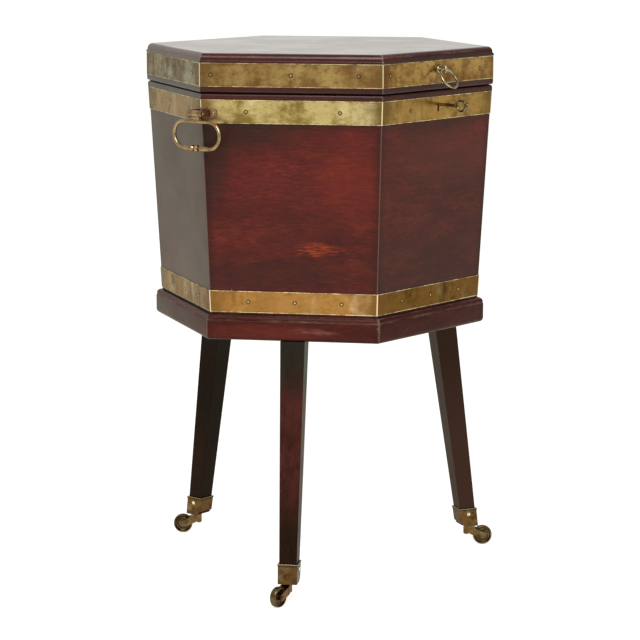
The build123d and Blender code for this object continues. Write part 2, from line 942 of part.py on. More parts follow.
with BuildPart() as hinge_pins:
    with Locations(*[Location((x, hinge_axis_y, hinge_axis_z), (0, 90, 0)) for x in hinge_places]):
        Cylinder(hinge_pin_radius, hinge_length)
finish(hinge_pins, "hinge_pins")

with BuildPart() as hinge_case_screws:
    add(hinge_screws(case_screw_places))
finish(hinge_case_screws, "hinge_case_screws")

with BuildPart() as hinge_lid_screws:
    add(hinge_screws(lid_screw_places))
finish(hinge_lid_screws, "hinge_lid_screws")

# Lock: a case let in behind the front panel, its cover on the inside
lock_box_height = lock_height - lock_top_plate
lock_cavity_half = lock_half_width - lock_plate
lock_cavity_bottom = lock_bottom + lock_plate
staple_width = cavity_depth - 2 * side_gap

with BuildPart() as lock_case:
    with Locations((0, -lock_front, lock_bottom)):
        Box(
            2 * lock_half_width,
            lock_depth - lock_plate,
            lock_box_height,
            align=(Align.CENTER, Align.MIN, Align.MIN),
        )
    with Locations((0, -lock_front + lock_plate, lock_cavity_bottom)):
        Box(
            2 * lock_cavity_half,
            lock_depth,
            lock_box_height - lock_plate,
            align=(Align.CENTER, Align.MIN, Align.MIN),
            mode=Mode.SUBTRACT,
        )
    with Locations((0, -lock_front, case_top)):
        Box(
            2 * (lock_half_width + lock_top_margin),
            lock_depth,
            lock_top_plate,
            align=(Align.CENTER, Align.MIN, Align.MAX),
        )
    with Locations((staple_start + staple_thickness / 2, -lock_middle, case_top)):
        Box(
            staple_thickness + 2 * staple_play,
            staple_width + 2 * side_gap,
            3 * lock_top_plate,
            mode=Mode.SUBTRACT,
        )
    add(keyhole(), mode=Mode.SUBTRACT)
finish(lock_case, "lock_case")

with BuildPart() as lock_cover:
    with Locations((0, -lock_back, lock_bottom)):
        Box(
            2 * lock_half_width,
            lock_plate,
            lock_box_height,
            align=(Align.CENTER, Align.MAX, Align.MIN),
        )
finish(lock_cover, "lock_cover")

cover_screw_heights = (
    lock_bottom + cover_screw_inset,
    lock_bottom + lock_box_height - cover_screw_inset,
)

with BuildPart() as lock_screws:
    for side in (-1, 1):
        for z in cover_screw_heights:
            x = side * (lock_half_width - cover_screw_inset)
            with Locations(Location((x, -lock_back, z), (-90, 0, 0))):
                Cylinder(
                    screw_head_radius,
                    cover_screw_height,
                    align=(Align.CENTER, Align.CENTER, Align.MIN),
                )
finish(lock_screws, "lock_screws")

# Lock bolt: a bar with a nose that enters the staple and a tooth that the key pushes
nose_length = staple_start - side_gap - bolt_nose_start
tooth_right = key_bit_thickness / 2 + side_gap - bolt_travel + bolt_tooth_width
tooth_bottom = key_height + key_bit_radius - bolt_tooth_bite

with BuildPart() as lock_bolt:
    with Locations((bolt_nose_start, -lock_middle, bolt_bottom)):
        Box(
            bolt_body_length,
            bolt_thickness,
            bolt_height,
            align=(Align.MAX, Align.CENTER, Align.MIN),
        )
    with Locations((bolt_nose_start, -lock_middle, bolt_top)):
        Box(
            nose_length,
            bolt_thickness,
            nose_height,
            align=(Align.MIN, Align.CENTER, Align.MAX),
        )
    with Locations((tooth_right, -lock_middle, tooth_bottom)):
        Box(
            bolt_tooth_width,
            bolt_thickness,
            bolt_bottom - tooth_bottom,
            align=(Align.MAX, Align.CENTER, Align.MIN),
        )
finish(lock_bolt, "lock_bolt")

# Link plate under the lid's front, with the staple that drops into the lock
staple_hole_bottom = bolt_top - nose_height - side_gap
staple_bottom = staple_hole_bottom - staple_bar

with BuildPart() as link_plate:
    with Locations((0, -lock_middle, lid_bottom)):
        Box(
            2 * link_half_width,
            link_depth,
            link_plate_thickness,
            align=(Align.CENTER, Align.CENTER, Align.MIN),
        )
    with Locations((staple_start, -lock_middle, staple_bottom)):
        Box(
            staple_thickness,
            staple_width - 2 * side_gap,
            lid_bottom - staple_bottom,
            align=(Align.MIN, Align.CENTER, Align.MIN),
        )
    with Locations((staple_start, -lock_middle, staple_hole_bottom)):
        Box(
            3 * staple_thickness,
            bolt_thickness + 2 * side_gap,
            nose_height + 2 * side_gap,
            align=(Align.CENTER, Align.CENTER, Align.MIN),
            mode=Mode.SUBTRACT,
        )
    with Locations(*link_screw_places):
        add(countersunk(screw_gap), mode=Mode.SUBTRACT)
finish(link_plate, "link_plate")

with BuildPart() as link_screws:
    add(hinge_screws(link_screw_places))
finish(link_screws, "link_screws")

# Key: round shank, bit with a ward cut, collar and a ring bow
key_outer_y = -(case_flat(key_height) + band_thickness + key_reach)
shank_inner_y = -(lock_middle - key_bit_length / 2 - key_tip)
shank_outer_y = key_outer_y + 2 * bow_radius + bow_wire

with BuildPart() as key:
    with Locations(Location((0, shank_outer_y, key_height), (-90, 0, 0))):
        Cylinder(
            key_shank,
            shank_inner_y - shank_outer_y,
            align=(Align.CENTER, Align.CENTER, Align.MIN),
        )
    with Locations(Location((0, shank_outer_y + key_collar_length, key_height), (-90, 0, 0))):
        Cylinder(key_collar_radius, key_collar_length)
    collar_edges = key.edges().filter_by(GeomType.CIRCLE)
    fillet(collar_edges.filter_by(lambda edge: edge.radius == key_collar_radius), key_collar_edge)
    with Locations((0, -lock_middle, key_height)):
        Box(
            key_bit_thickness,
            key_bit_length,
            key_bit_radius,
            align=(Align.CENTER, Align.CENTER, Align.MAX),
        )
    with Locations((0, key_bit_length / 2 - lock_middle, key_height - key_ward_drop)):
        Box(
            2 * key_bit_thickness,
            2 * key_ward_depth,
            key_ward_width,
            mode=Mode.SUBTRACT,
        )
    with Locations(Location((0, key_outer_y + bow_radius + bow_wire, key_height), (0, 90, 0))):
        Torus(bow_radius, bow_wire)
finish(key, "key")

# Carrying handles: the right one is modelled at the +X corner, the left one is turned half round
handle_height = upper_band_bottom + handle_height_in_band


def band_face(z):
    """Distance from the middle to the outer face of the upper band at a height."""
    return case_flat(z) + band_thickness


def band_block(offset):
    """Solid hexagon that follows the upper band's outer face, grown by an offset."""
    with BuildPart() as block:
        loft(
            [
                hexagon(upper_band_bottom, band_face(upper_band_bottom) + offset),
                hexagon(upper_band_top, band_face(upper_band_top) + offset),
            ],
            ruled=True,
        )
    return block.part


handle_x = corner(band_face(handle_height)) + handle_stand_off
lug_start = knuckle_width / 2 + side_gap
lug_end = lug_start + lug_width
handle_turns = {"right": 0, "left": 180}
handle_axis = Location((handle_x, 0, handle_height), (-90, 0, 0))
plate_screw_planes = [
    face_plane(angle, handle_height, band_face(handle_height) + plate_thickness, case_lean).location
    * Location((side * (corner(band_face(handle_height)) / 2 - plate_screw_inset), 0, 0))
    for angle, side in ((60, 1), (120, -1))
]

with BuildPart() as bracket:
    add(band_block(plate_thickness))
    with BuildSketch(Plane(origin=(0, 0, handle_height), x_dir=(0, 1, 0), z_dir=(1, 0, 0))):
        RectangleRounded(2 * plate_half_width, 2 * plate_half_height, plate_rounding)
    extrude(amount=2 * handle_x, mode=Mode.INTERSECT)
    for side in (-1, 1):
        middle = side * (lug_start + lug_end) / 2
        with BuildSketch(Plane(origin=(0, middle, handle_height), x_dir=(1, 0, 0), z_dir=(0, -1, 0))):
            with Locations((handle_x, 0)):
                Circle(handle_knuckle_radius)
            with Locations((handle_x - 2 * handle_stand_off, 0)):
                Rectangle(handle_stand_off, 2 * handle_knuckle_radius)
            make_hull()
        extrude(amount=lug_width / 2, both=True)
    add(band_block(0), mode=Mode.SUBTRACT)
    with Locations(handle_axis):
        Cylinder(handle_pin_radius + running_gap, 4 * lug_end, mode=Mode.SUBTRACT)

top_reach = bail_half_width - bail_height / 2
bail_foot = Location((handle_x, 0, handle_height - bail_drop - bail_height), (-90, 0, 0))

with BuildPart() as bail:
    bail_view = Plane(
        origin=(handle_x, 0, handle_height - bail_drop),
        x_dir=(0, 1, 0),
        z_dir=(1, 0, 0),
    )
    with BuildLine(bail_view) as outline:
        Line((bail_gap + bud_shoulder, -bail_height), (top_reach, -bail_height))
        CenterArc((top_reach, -bail_height / 2), bail_height / 2, -90, 180)
        Line((top_reach, 0), (-top_reach, 0))
        CenterArc((-top_reach, -bail_height / 2), bail_height / 2, 90, 180)
        Line((-top_reach, -bail_height), (-bail_gap - bud_shoulder, -bail_height))
    path = outline.wire()
    with BuildSketch(Plane(origin=path @ 0, z_dir=path % 0)):
        Circle(bail_wire)
    sweep(path=path)
    for side in (-1, 1):
        with BuildSketch(bail_view):
            Polygon(
                (side * bail_gap, -bail_height),
                (side * bail_gap, bail_bud / 2 - bail_height),
                (side * (bail_gap + bud_shoulder), bail_bud - bail_height),
                (side * top_reach, bail_wire_low - bail_height),
                (side * top_reach, -bail_height),
                align=None,
            )
        revolve(axis=Axis(bail_foot.position, (0, 1, 0)))
    with Locations(bail_foot):
        Cylinder(bail_neck, 2 * (bail_gap + bud_shoulder))
        Cylinder(bail_bead, bail_bead_width)
    bead_edges = bail.edges().filter_by(GeomType.CIRCLE)
    fillet(bead_edges.filter_by(lambda edge: edge.radius == bail_bead), bail_bead_edge)
    with Locations((handle_x, 0, handle_height)):
        Box(
            bail_web,
            knuckle_width,
            bail_drop,
            align=(Align.CENTER, Align.CENTER, Align.MAX),
        )
    with Locations(handle_axis):
        Cylinder(handle_knuckle_radius, knuckle_width)
        Cylinder(handle_pin_radius + running_gap, 2 * knuckle_width, mode=Mode.SUBTRACT)

for place, turn in handle_turns.items():
    with BuildPart() as handle_bracket:
        add(bracket.part, rotation=(0, 0, turn))
    finish(handle_bracket, f"handle_bracket_{place}")
    with BuildPart() as handle_bail:
        add(bail.part, rotation=(0, 0, turn))
    finish(handle_bail, f"bail_{place}")

with BuildPart() as handle_pins:
    for turn in handle_turns.values():
        with Locations(Location((0, 0, 0), (0, 0, turn)) * handle_axis):
            Cylinder(handle_pin_radius, 2 * lug_end)
            for end in (-1, 1):
                with Locations((0, 0, end * (lug_end + handle_pin_head_height / 2))):
                    Cylinder(handle_pin_radius + handle_pin_head_flange, handle_pin_head_height)
    for ends in (handle_pins.faces().sort_by(Axis.Y)[:2], handle_pins.faces().sort_by(Axis.Y)[-2:]):
        fillet(ends.edges(), handle_pin_head_edge)
finish(handle_pins, "handle_pins")

with BuildPart() as handle_screws:
    for turn in handle_turns.values():
        for place in plate_screw_planes:
            with Locations(Location((0, 0, 0), (0, 0, turn)) * place):
                add(round_head(plate_screw_radius))
finish(handle_screws, "handle_screws")
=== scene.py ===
# %% [markdown]
# A brass-bound cellarette in Blender. A cellarette is a small wine chest. This one is a six-sided
# mahogany case on three splayed legs, bound with brass and shut by a hinged lid. The solid pieces
# come in as a fixed frame. Each step below gives one of them its finish, or builds the fine form
# that a plain solid lacks.

# %% Load the frame
import json
from math import atan2, copysign, cos, pi, radians, sin, tan

import bmesh
import bpy
from mathutils import Matrix, Vector

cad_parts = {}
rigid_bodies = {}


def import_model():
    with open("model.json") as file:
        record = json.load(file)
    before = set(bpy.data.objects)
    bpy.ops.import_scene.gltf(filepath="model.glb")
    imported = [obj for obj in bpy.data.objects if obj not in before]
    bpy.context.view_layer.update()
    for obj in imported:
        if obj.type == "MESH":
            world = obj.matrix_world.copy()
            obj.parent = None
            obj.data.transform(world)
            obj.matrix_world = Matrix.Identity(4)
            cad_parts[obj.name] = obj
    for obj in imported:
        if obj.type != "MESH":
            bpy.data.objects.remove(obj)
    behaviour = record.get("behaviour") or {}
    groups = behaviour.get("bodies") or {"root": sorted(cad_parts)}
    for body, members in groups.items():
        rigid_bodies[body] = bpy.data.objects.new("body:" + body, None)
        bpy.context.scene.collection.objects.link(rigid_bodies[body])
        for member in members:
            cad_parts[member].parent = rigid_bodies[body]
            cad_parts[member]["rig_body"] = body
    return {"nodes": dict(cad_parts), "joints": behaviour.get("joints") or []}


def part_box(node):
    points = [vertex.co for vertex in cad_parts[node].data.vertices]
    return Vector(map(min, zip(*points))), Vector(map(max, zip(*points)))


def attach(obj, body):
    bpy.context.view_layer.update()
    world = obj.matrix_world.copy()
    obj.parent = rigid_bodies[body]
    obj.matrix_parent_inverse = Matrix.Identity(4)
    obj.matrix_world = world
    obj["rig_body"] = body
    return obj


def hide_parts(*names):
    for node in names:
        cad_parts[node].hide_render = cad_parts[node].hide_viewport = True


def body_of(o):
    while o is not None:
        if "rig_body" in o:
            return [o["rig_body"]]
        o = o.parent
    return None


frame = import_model()
nodes = frame["nodes"]
joints = {joint["name"]: joint for joint in frame["joints"]}
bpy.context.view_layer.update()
print("pieces in the frame:", len(nodes))

# %% [markdown]
# The camera. A long lens from far away keeps the perspective flat, as in the photograph. The camera
# is placed by its turn round the chest and its height angle, so that both can be read off and
# changed one at a time. A look-at constraint would do too, but a matrix built from three
# directions shows what a camera is: right, up and backwards.

# %% Camera
camera_turn = radians(50.3)
camera_pitch = radians(9.8)
camera_distance = 3.36
camera_side = 0.0026
aim_height = 0.334
lens_millimetres = 139.0
outwards = Vector((-sin(camera_turn), -cos(camera_turn), 0))
right = Vector((cos(camera_turn), -sin(camera_turn), 0))
backwards = outwards * cos(camera_pitch) + Vector((0, 0, sin(camera_pitch)))
upwards = backwards.cross(right)

camera = bpy.data.objects.new("camera", bpy.data.cameras.new("camera"))
bpy.context.scene.collection.objects.link(camera)
camera.data.sensor_width = 36.0
camera.data.lens = lens_millimetres
camera.matrix_world = Matrix.Translation(
    backwards * camera_distance + right * camera_side + Vector((0, 0, aim_height))
) @ Matrix((right, upwards, backwards)).transposed().to_4x4()
bpy.context.scene.camera = camera
bpy.context.scene.view_settings.view_transform = "Standard"
print("camera stands at", [round(value, 3) for value in camera.location])

# %% [markdown]
# Nodes that read like sums. Every finish below is a tree of shader nodes. It could be drawn by hand
# in the shader editor. In a script, two helpers and one small class make it short: the class wraps
# a node's output, so that a plain sum such as height * 2 + 1 adds its own Math nodes, and a material
# reads like a recipe.

# %% Add a node and plug its inputs
def plug(node, plugs):
    """Put a plain value, or another node's output, into each named input of a node."""
    for name, value in plugs.items():
        if isinstance(value, Value):
            node.id_data.links.new(value.socket, node.inputs[name])
        else:
            node.inputs[name].default_value = value


def shader(tree, kind, plugs=None, **settings):
    """Add a shader node, set its properties and plug its inputs."""
    node = tree.nodes.new("ShaderNode" + kind)
    for name, value in settings.items():
        setattr(node, name, value)
    plug(node, plugs or {})
    return node


def made(tree, kind, plugs=None, output=0, **settings):
    """Add a shader node and return one of its outputs."""
    return Value(shader(tree, kind, plugs, **settings).outputs[output])


# %% A node's output as a number
class Value:
    """The output of a node, which can stand in a sum like a plain number."""

    def __init__(self, socket):
        self.socket = socket

    def __add__(self, other):
        return math_node("ADD", self, other)

    def __radd__(self, other):
        return math_node("ADD", other, self)

    def __sub__(self, other):
        return math_node("SUBTRACT", self, other)

    def __rsub__(self, other):
        return math_node("SUBTRACT", other, self)

    def __mul__(self, other):
        return math_node("MULTIPLY", self, other)

    def __truediv__(self, other):
        return math_node("DIVIDE", self, other)

    def __abs__(self):
        return math_node("ABSOLUTE", self)

    def clipped(self):
        """The same value, kept between 0 and 1 by its own Math node."""
        self.socket.node.use_clamp = True
        return self


def tree_of(*values):
    """The node tree that the first output among these values is in."""
    return next(value.socket.id_data for value in values if isinstance(value, Value))


def math_node(operation, *values):
    """One Math node on one or two values."""
    return made(tree_of(*values), "Math", dict(enumerate(values)), operation=operation)


def vector_node(operation, first, second):
    """One Vector Math node."""
    return made(tree_of(first, second), "VectorMath", {0: first, 1: second}, operation=operation)


def split(vector):
    """The three parts of a vector."""
    return [Value(output) for output in shader(tree_of(vector), "SeparateXYZ", {0: vector}).outputs]


def blend(factor, first, second, kind="MIX"):
    """Mix two colours."""
    tree = tree_of(factor, first, second)
    return made(tree, "Mix", {0: factor, 6: first, 7: second}, 2, data_type="RGBA", blend_type=kind)


# %% [markdown]
# The room. Old polish and brass are judged by what they mirror, so the room matters more than the
# lamps. A pale world stands for a white studio. It is brighter behind the chest, which puts a sheen
# on the lid. A slope of brightness is enough for that, and the camera itself sees plain white.

# %% World
bright_side = (0.25, 0.95, 0.15)
world = bpy.data.worlds.new("studio")
bpy.context.scene.world = world
world.use_nodes = True
tree = world.node_tree
tree.nodes.clear()
compass = made(tree, "TexCoord", output="Generated")
towards = made(tree, "VectorMath", {0: compass, 1: bright_side}, "Value", operation="DOT_PRODUCT")
slope = {"Value": towards, "From Min": -0.4, "From Max": 0.9, "To Min": 0.3, "To Max": 0.92}
walls = {"Color": (1.0, 0.985, 0.935, 1), "Strength": made(tree, "MapRange", slope)}
room = made(tree, "Background", walls)
white = made(tree, "Background", {"Color": (1, 1, 1, 1), "Strength": 1.0})
seen = made(tree, "LightPath", output="Is Camera Ray")
shader(tree, "OutputWorld", {"Surface": made(tree, "MixShader", {0: seen, 1: room, 2: white})})
print("the walls' brightness runs from", slope["To Min"], "to", slope["To Max"])

# %% [markdown]
# The lamps. One big soft lamp, high up and a little left of the camera, stands for a window and
# shapes the faces. A weak one fills from the right. Area lamps are used, because a point lamp would
# put hard dots on the brass.

# %% Lamps
chest_middle = Vector((0, 0, 0.35))


def soft_lamp(name, turn, height, distance, size, power):
    """A square area lamp that looks at the middle of the chest."""
    lamp = bpy.data.objects.new(name, bpy.data.lights.new(name, "AREA"))
    bpy.context.scene.collection.objects.link(lamp)
    lamp.data.size = size
    lamp.data.energy = power
    away = Vector((-sin(turn) * cos(height), -cos(turn) * cos(height), sin(height)))
    lamp.location = away * distance + chest_middle
    lamp.rotation_euler = away.to_track_quat("Z", "Y").to_euler()
    print(name, "stands", round(lamp.location.z, 2), "m up")


soft_lamp("window", camera_turn + radians(5), radians(40), distance=2.6, size=1.5, power=56)
soft_lamp("fill", camera_turn - radians(60), radians(28), distance=3.0, size=1.8, power=8)

# %% [markdown]
# The floor is a sheet of pale paper. It should look white to the camera and still carry the chest's
# shadow, so it is a matt surface that also glows a little where the camera looks at it. It glows for
# mirror rays too: the grey on the left side of the chest is this floor, mirrored in the polish.

# %% Floor
camera_glow, mirror_glow = 0.66, 0.50
paper_white, mirrored_paper = (0.97, 0.98, 1.0, 1), (0.92, 1.03, 0.83, 1)
bpy.ops.mesh.primitive_plane_add(size=80)
floor = bpy.context.object
floor.name = "floor"
paper = bpy.data.materials.new("paper_floor")
paper.use_nodes = True
tree = paper.node_tree
tree.nodes.clear()
rays = {output.name: Value(output) for output in shader(tree, "LightPath").outputs}
matt = made(tree, "BsdfDiffuse", {"Color": (0.74, 0.72, 0.66, 1)})
glow = made(tree, "Emission", {
    "Color": blend(rays["Is Glossy Ray"], paper_white, mirrored_paper),
    "Strength": rays["Is Camera Ray"] * camera_glow + rays["Is Glossy Ray"] * mirror_glow,
})
shader(tree, "OutputMaterial", {"Surface": made(tree, "AddShader", {0: matt, 1: glow})})
floor.data.materials.append(paper)
print("floor nodes:", len(tree.nodes))

# %% [markdown]
# Which face am I on? The case, its bands and its mouldings all go round the same hexagon. A board's
# grain has to run along its own face, so a material must know which of the six faces it is on. This
# node group turns a position into three board coordinates: along the face, up, and out. It also
# gives the number of the face, which makes every board's figure different, and the distance to the
# nearest mitre. UV maps could do this too, but they would have to be made for every piece.

# %% An empty node group
def group_with(name, inputs, outputs):
    """An empty shader node group: the group, its inputs by name, and the node for its results."""
    group = bpy.data.node_groups.new(name, "ShaderNodeTree")
    for title, kind, value in inputs:
        socket = group.interface.new_socket(title, in_out="INPUT", socket_type="NodeSocket" + kind)
        if value is not None:
            socket.default_value = value
    for title, kind in outputs:
        group.interface.new_socket(title, in_out="OUTPUT", socket_type="NodeSocket" + kind)
    start, end = group.nodes.new("NodeGroupInput"), group.nodes.new("NodeGroupOutput")
    return group, {output.name: Value(output) for output in start.outputs}, end


def combined(tree, x, y, z):
    """A vector made from three parts."""
    return made(tree, "CombineXYZ", {"X": x, "Y": y, "Z": z})


# %% Board coordinates
face_number = {"front": 0, "front_right": 1, "back_right": 2, "back": 3, "back_left": -2, "front_left": -1}
sixth_turn = pi / 3
half_face = tan(pi / 6)

board_group, given, result = group_with(
    "board_coordinates",
    [("Position", "Vector", None)],
    [("Board", "Vector"), ("Face", "Float"), ("Mitre Distance", "Float")],
)
x, y, z = split(given["Position"])
face = math_node("ROUND", math_node("ARCTAN2", x, y * -1.0) / sixth_turn)
face = face + math_node("LESS_THAN", face, -2.5) * 6.0
sine, cosine = math_node("SINE", face * sixth_turn), math_node("COSINE", face * sixth_turn)
along = x * cosine + y * sine
out = x * sine - y * cosine
plug(result, {
    "Board": combined(board_group, along, z, out),
    "Face": face,
    "Mitre Distance": out * half_face - abs(along),
})
print("nodes in the board group:", len(board_group.nodes))

# %% [markdown]
# Mahogany is red-brown, with long soft bands along the grain, short dark pores, and now and then a
# flame of orange. Each of those is noise that has been stretched along the board: the further it is
# stretched, the more it looks like grain. They are built once, as a group, and each board gets its
# own seed, so that no two boards match.

# %% Noise that runs with the grain
def noise(vector, seed, stretch, detail=3.0, roughness=0.55, distortion=0.0):
    """Noise with as many cells to the metre as the stretch says, along, up and outwards."""
    tree = tree_of(vector)
    cells = stretch if isinstance(stretch, tuple) else (stretch, stretch, stretch)
    moved = vector_node("ADD", vector, combined(tree, seed * 3.7, seed * 1.9, seed))
    look = {"Scale": 1.0, "Detail": detail, "Roughness": roughness, "Distortion": distortion}
    return made(tree, "TexNoise", {"Vector": vector_node("MULTIPLY", moved, cells)} | look, "Fac")


def between(value, low, high, to_low=0.0, to_high=1.0):
    """Spread a value between two limits, smoothly, and clip it there."""
    limits = {"From Min": low, "From Max": high, "To Min": to_low, "To Max": to_high}
    return made(tree_of(value), "MapRange", {"Value": value} | limits, interpolation_type="SMOOTHSTEP")


def fading(value, start, end, strength=1.0):
    """A mask at its full strength up to the start, and gone at the end."""
    return between(value, start, end, strength, 0.0)


# %% Figure of the wood
wood_group, given, result = group_with(
    "mahogany",
    [
        ("Board", "Vector", None),
        ("Seed", "Float", 0.0),
        ("Deep", "Color", (0.03, 0.006, 0.005, 1)),
        ("Red", "Color", (0.12, 0.022, 0.015, 1)),
        ("Flame", "Color", (0.30, 0.07, 0.02, 1)),
        ("Flame Share", "Float", 0.5),
    ],
    [("Color", "Color"), ("Pores", "Float")],
)
seed = given["Seed"]
wave = noise(given["Board"], seed, (4, 7, 7), detail=1.0)
grain = vector_node("ADD", given["Board"], combined(wood_group, 0.0, (wave - 0.5) * 0.02, 0.0))
broad = noise(grain, seed, (6, 9, 9), detail=5.0, roughness=0.62)
bands = noise(grain, seed, (11, 75, 75), detail=3.0, roughness=0.6)
fine = noise(grain, seed, (75, 420, 420), detail=5.0, roughness=0.75)
pores = between(noise(grain, seed, (130, 1100, 1100), detail=2.0), 0.52, 0.7)
patch = noise(grain, seed + 11.0, (14, 40, 40), detail=6.0, roughness=0.75)
flame = (between(patch, 0.46, 0.72) * given["Flame Share"]).clipped()
tone = between(broad, 0.25, 0.75) * 0.68 + between(bands, 0.25, 0.75) * 0.32
lively = blend(flame, blend(tone, given["Deep"], given["Red"]), given["Flame"])
shaded = blend(0.45, given["Deep"], (0.0, 0.0, 0.0, 1))
streaked = blend(between(fine, 0.34, 0.7) * 0.6, lively, shaded)
plug(result, {"Color": blend(pores * 0.45, streaked, shaded), "Pores": pores})
print("nodes in the mahogany group:", len(wood_group.nodes))

# %% [markdown]
# Wear and grime. Two centuries of hands and dusters leave the same marks on all the wood: corners go
# pale, and dirt stays where a cloth can't reach. The group takes a distance in metres from an edge
# or a corner, and breaks it up with noise so that the mark has no hard outline.

# %% Worn edges
wear_group, given, result = group_with(
    "worn_edge",
    [
        ("Position", "Vector", None),
        ("Distance", "Float", 0.01),
        ("Reach", "Float", 0.004),
        ("Strength", "Float", 0.6),
    ],
    [("Mask", "Float")],
)
ragged = noise(given["Position"], 0.0, 110.0, detail=5.0, roughness=0.7)
patchy = noise(given["Position"], 4.0, 14.0, detail=2.0)
near = (1.0 - given["Distance"] / given["Reach"]).clipped()
torn = between(near + (ragged - 0.5) * 1.6, 0.45, 0.9)
plug(result, {"Mask": torn * between(patchy, 0.36, 0.64) * given["Strength"]})
print("nodes in the wear group:", len(wear_group.nodes))

# %% [markdown]
# Placing the groups. A group is a recipe, and each material uses it with its own values. The position
# comes from the object's own coordinates, which are metres on the chest here, so a stain or a pin
# can be placed by its real height.

# %% Use a group in a material
def use(group, plugs):
    """Place a node group, plug its inputs and return its outputs by name."""
    node = shader(tree_of(*plugs.values()), "Group", plugs, node_tree=group)
    return {output.name: Value(output) for output in node.outputs}


def on_board(position):
    """The board coordinates of a position, also split into Along and Height."""
    face = use(board_group, {"Position": position})
    face["Along"], face["Height"], _ = split(face["Board"])
    return face


def on_face(face, side):
    """A mask of one face of the hexagon."""
    return fading(abs(face["Face"] - face_number[side]), 0.4, 0.6)


def new_material(name):
    """A material, its Principled shader and the position on the chest."""
    material = bpy.data.materials.new(name)
    material.use_nodes = True
    tree = material.node_tree
    return material, tree.nodes["Principled BSDF"], made(tree, "TexCoord", output="Object")


# %% [markdown]
# Wax polish is never even: it is cloudy, and it sinks into the pores of the wood. A shiny coat could
# be laid over everything, but the sides of this chest shine softly and only the lid's top is
# glossy, so the coat is kept to the top.

# %% Polish
lid_foot, lid_top = (corner[2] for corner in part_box("lid_board"))


def bumped(height, strength, depth):
    """A normal that follows a height; depth in metres is how deep a height of 1 is."""
    plugs = {"Strength": strength, "Distance": depth, "Height": height}
    return made(tree_of(height), "Bump", plugs)


def polish(principled, position, pores, rough, gloss, coat=0.0):
    """Wax polish whose gloss is an index of refraction, and a glossy coat on the lid's top."""
    cloudy = noise(position, 2.0, 13.0, detail=4.0, roughness=0.6)
    plug(principled, {
        "Roughness": between(cloudy, 0.3, 0.7, rough - 0.03, rough + 0.05),
        "Normal": bumped(1.0 - pores, 0.06, 0.0001),
        "IOR": gloss,
        "Coat Roughness": 0.16,
    })
    if coat:
        top = between(split(position)[2], lid_top - 0.0006, lid_top - 0.0001, 0.0, coat)
        plug(principled, {"Coat Weight": top})


# %% [markdown]
# Boards round the hexagon. All boards share one recipe: the figure of the wood, then stains and
# patches of painted shade, dirt in the corners, worn edges, a thin pale painted highlight along each
# corner, and a near-black painted shadow along the gap at a joint. Each layer is laid over the colour
# below it, in this order.

# %% Stains
def stained(colour, face, mark):
    """Lay one ragged patch over a colour, on its own face only: a real stain, and in some places painted
    shade.
    """
    side, along, height, half_length, half_height, stain, strength, raggedness = mark
    sideways = (face["Along"] - along) / half_length
    rise = (face["Height"] - height) / half_height
    seed = face_number[side] + 40.0
    ragged = noise(face["Board"], seed, (34, 190, 190), detail=6.0, roughness=0.8)
    reach = sideways * sideways + rise * rise + (ragged - 0.5) * raggedness
    streaks = noise(face["Board"], 60.0, (55, 380, 380), detail=5.0, roughness=0.75)
    streaky = between(streaks, 0.36, 0.62, max(0.0, 1.0 - 0.16 * raggedness), 1.0)
    return blend(fading(reach, -0.2, 1.4, strength) * on_face(face, side) * streaky, colour, stain)


# %% Boards
corner_dirt = (0.014, 0.006, 0.005, 1)
# Painted highlight: the pale colour of the thin line along each corner.
arris_highlight = (0.24, 0.13, 0.10, 1)
# Painted shadow: the near-black of the line in a gap.
gap_shadow_black = (0.006, 0.003, 0.002, 1)
old_grey = (0.17, 0.115, 0.09, 1)


def board_material(
    name, deep, red, flame, flame_share, seed=0.0, edges=(), wear=0.0, worn_colour=(0.2, 0.13, 0.1, 1),
    grime=0.0, rough=0.3, gloss=1.23, coat=0.0, marks=(), arris=0.0, joint=None, slab=None,
):
    """Polished mahogany whose grain follows the faces. The edges are the heights of worn edges,
    joint is the height of a gap whose shade is painted as a near-black line, and slab is the foot and top of
    a board in one piece."""
    material, principled, position = new_material(name)
    face = on_board(position)
    corner = face["Mitre Distance"]
    figure = {"Board": face["Board"], "Seed": face["Face"] * 1.37 + seed}
    if slab:
        figure = {"Board": position, "Seed": seed}
        middle, half = sum(slab) / 2, (slab[1] - slab[0]) / 2
        corner = corner + between(abs(face["Height"] - middle), half - 0.0006, half - 0.0002)
    figure |= {"Deep": deep, "Red": red, "Flame": flame, "Flame Share": flame_share}
    wood = use(wood_group, figure)
    colour = wood["Color"]
    for mark in marks:
        colour = stained(colour, face, mark)
    colour = blend(fading(corner, 0.0, 0.014) * grime, colour, corner_dirt)
    worn_places = [(corner, 0.005)] if wear else []
    worn_places += [(abs(face["Height"] - edge), 0.003) for edge in edges]
    for distance, reach in worn_places:
        plugs = {"Position": position, "Distance": distance, "Reach": reach, "Strength": wear}
        colour = blend(use(wear_group, plugs)["Mask"], colour, worn_colour)
    # Painted highlight: a thin pale line along each corner of the boards.
    if arris:
        colour = blend(fading(corner, 0.0003, 0.0012, arris), colour, arris_highlight)
    # Painted shadow: a near-black line along the gap at the joint, on both sides of it.
    if joint:
        to_gap = abs(face["Height"] - joint)
        colour = blend(fading(to_gap, 0.0009, 0.0022, 0.95), colour, gap_shadow_black)
    plug(principled, {"Base Color": colour})
    polish(principled, position, wood["Pores"], rough, gloss, coat)
    print(name, "has", len(marks), "stains and", len(material.node_tree.nodes), "nodes")
    return material


# %% [markdown]
# The panels are the reddest boards, with a flame of orange low on the near face. The dark patches
# round the handle and just under the upper band are painted shadow, and the whole back-left side is
# darkened as painted shade; the other dark patches are stains. The rims, base and lid are darker, and
# the base is the most worn. The stains and shades are ellipses placed one by one on a face, because
# they belong to this one chest.

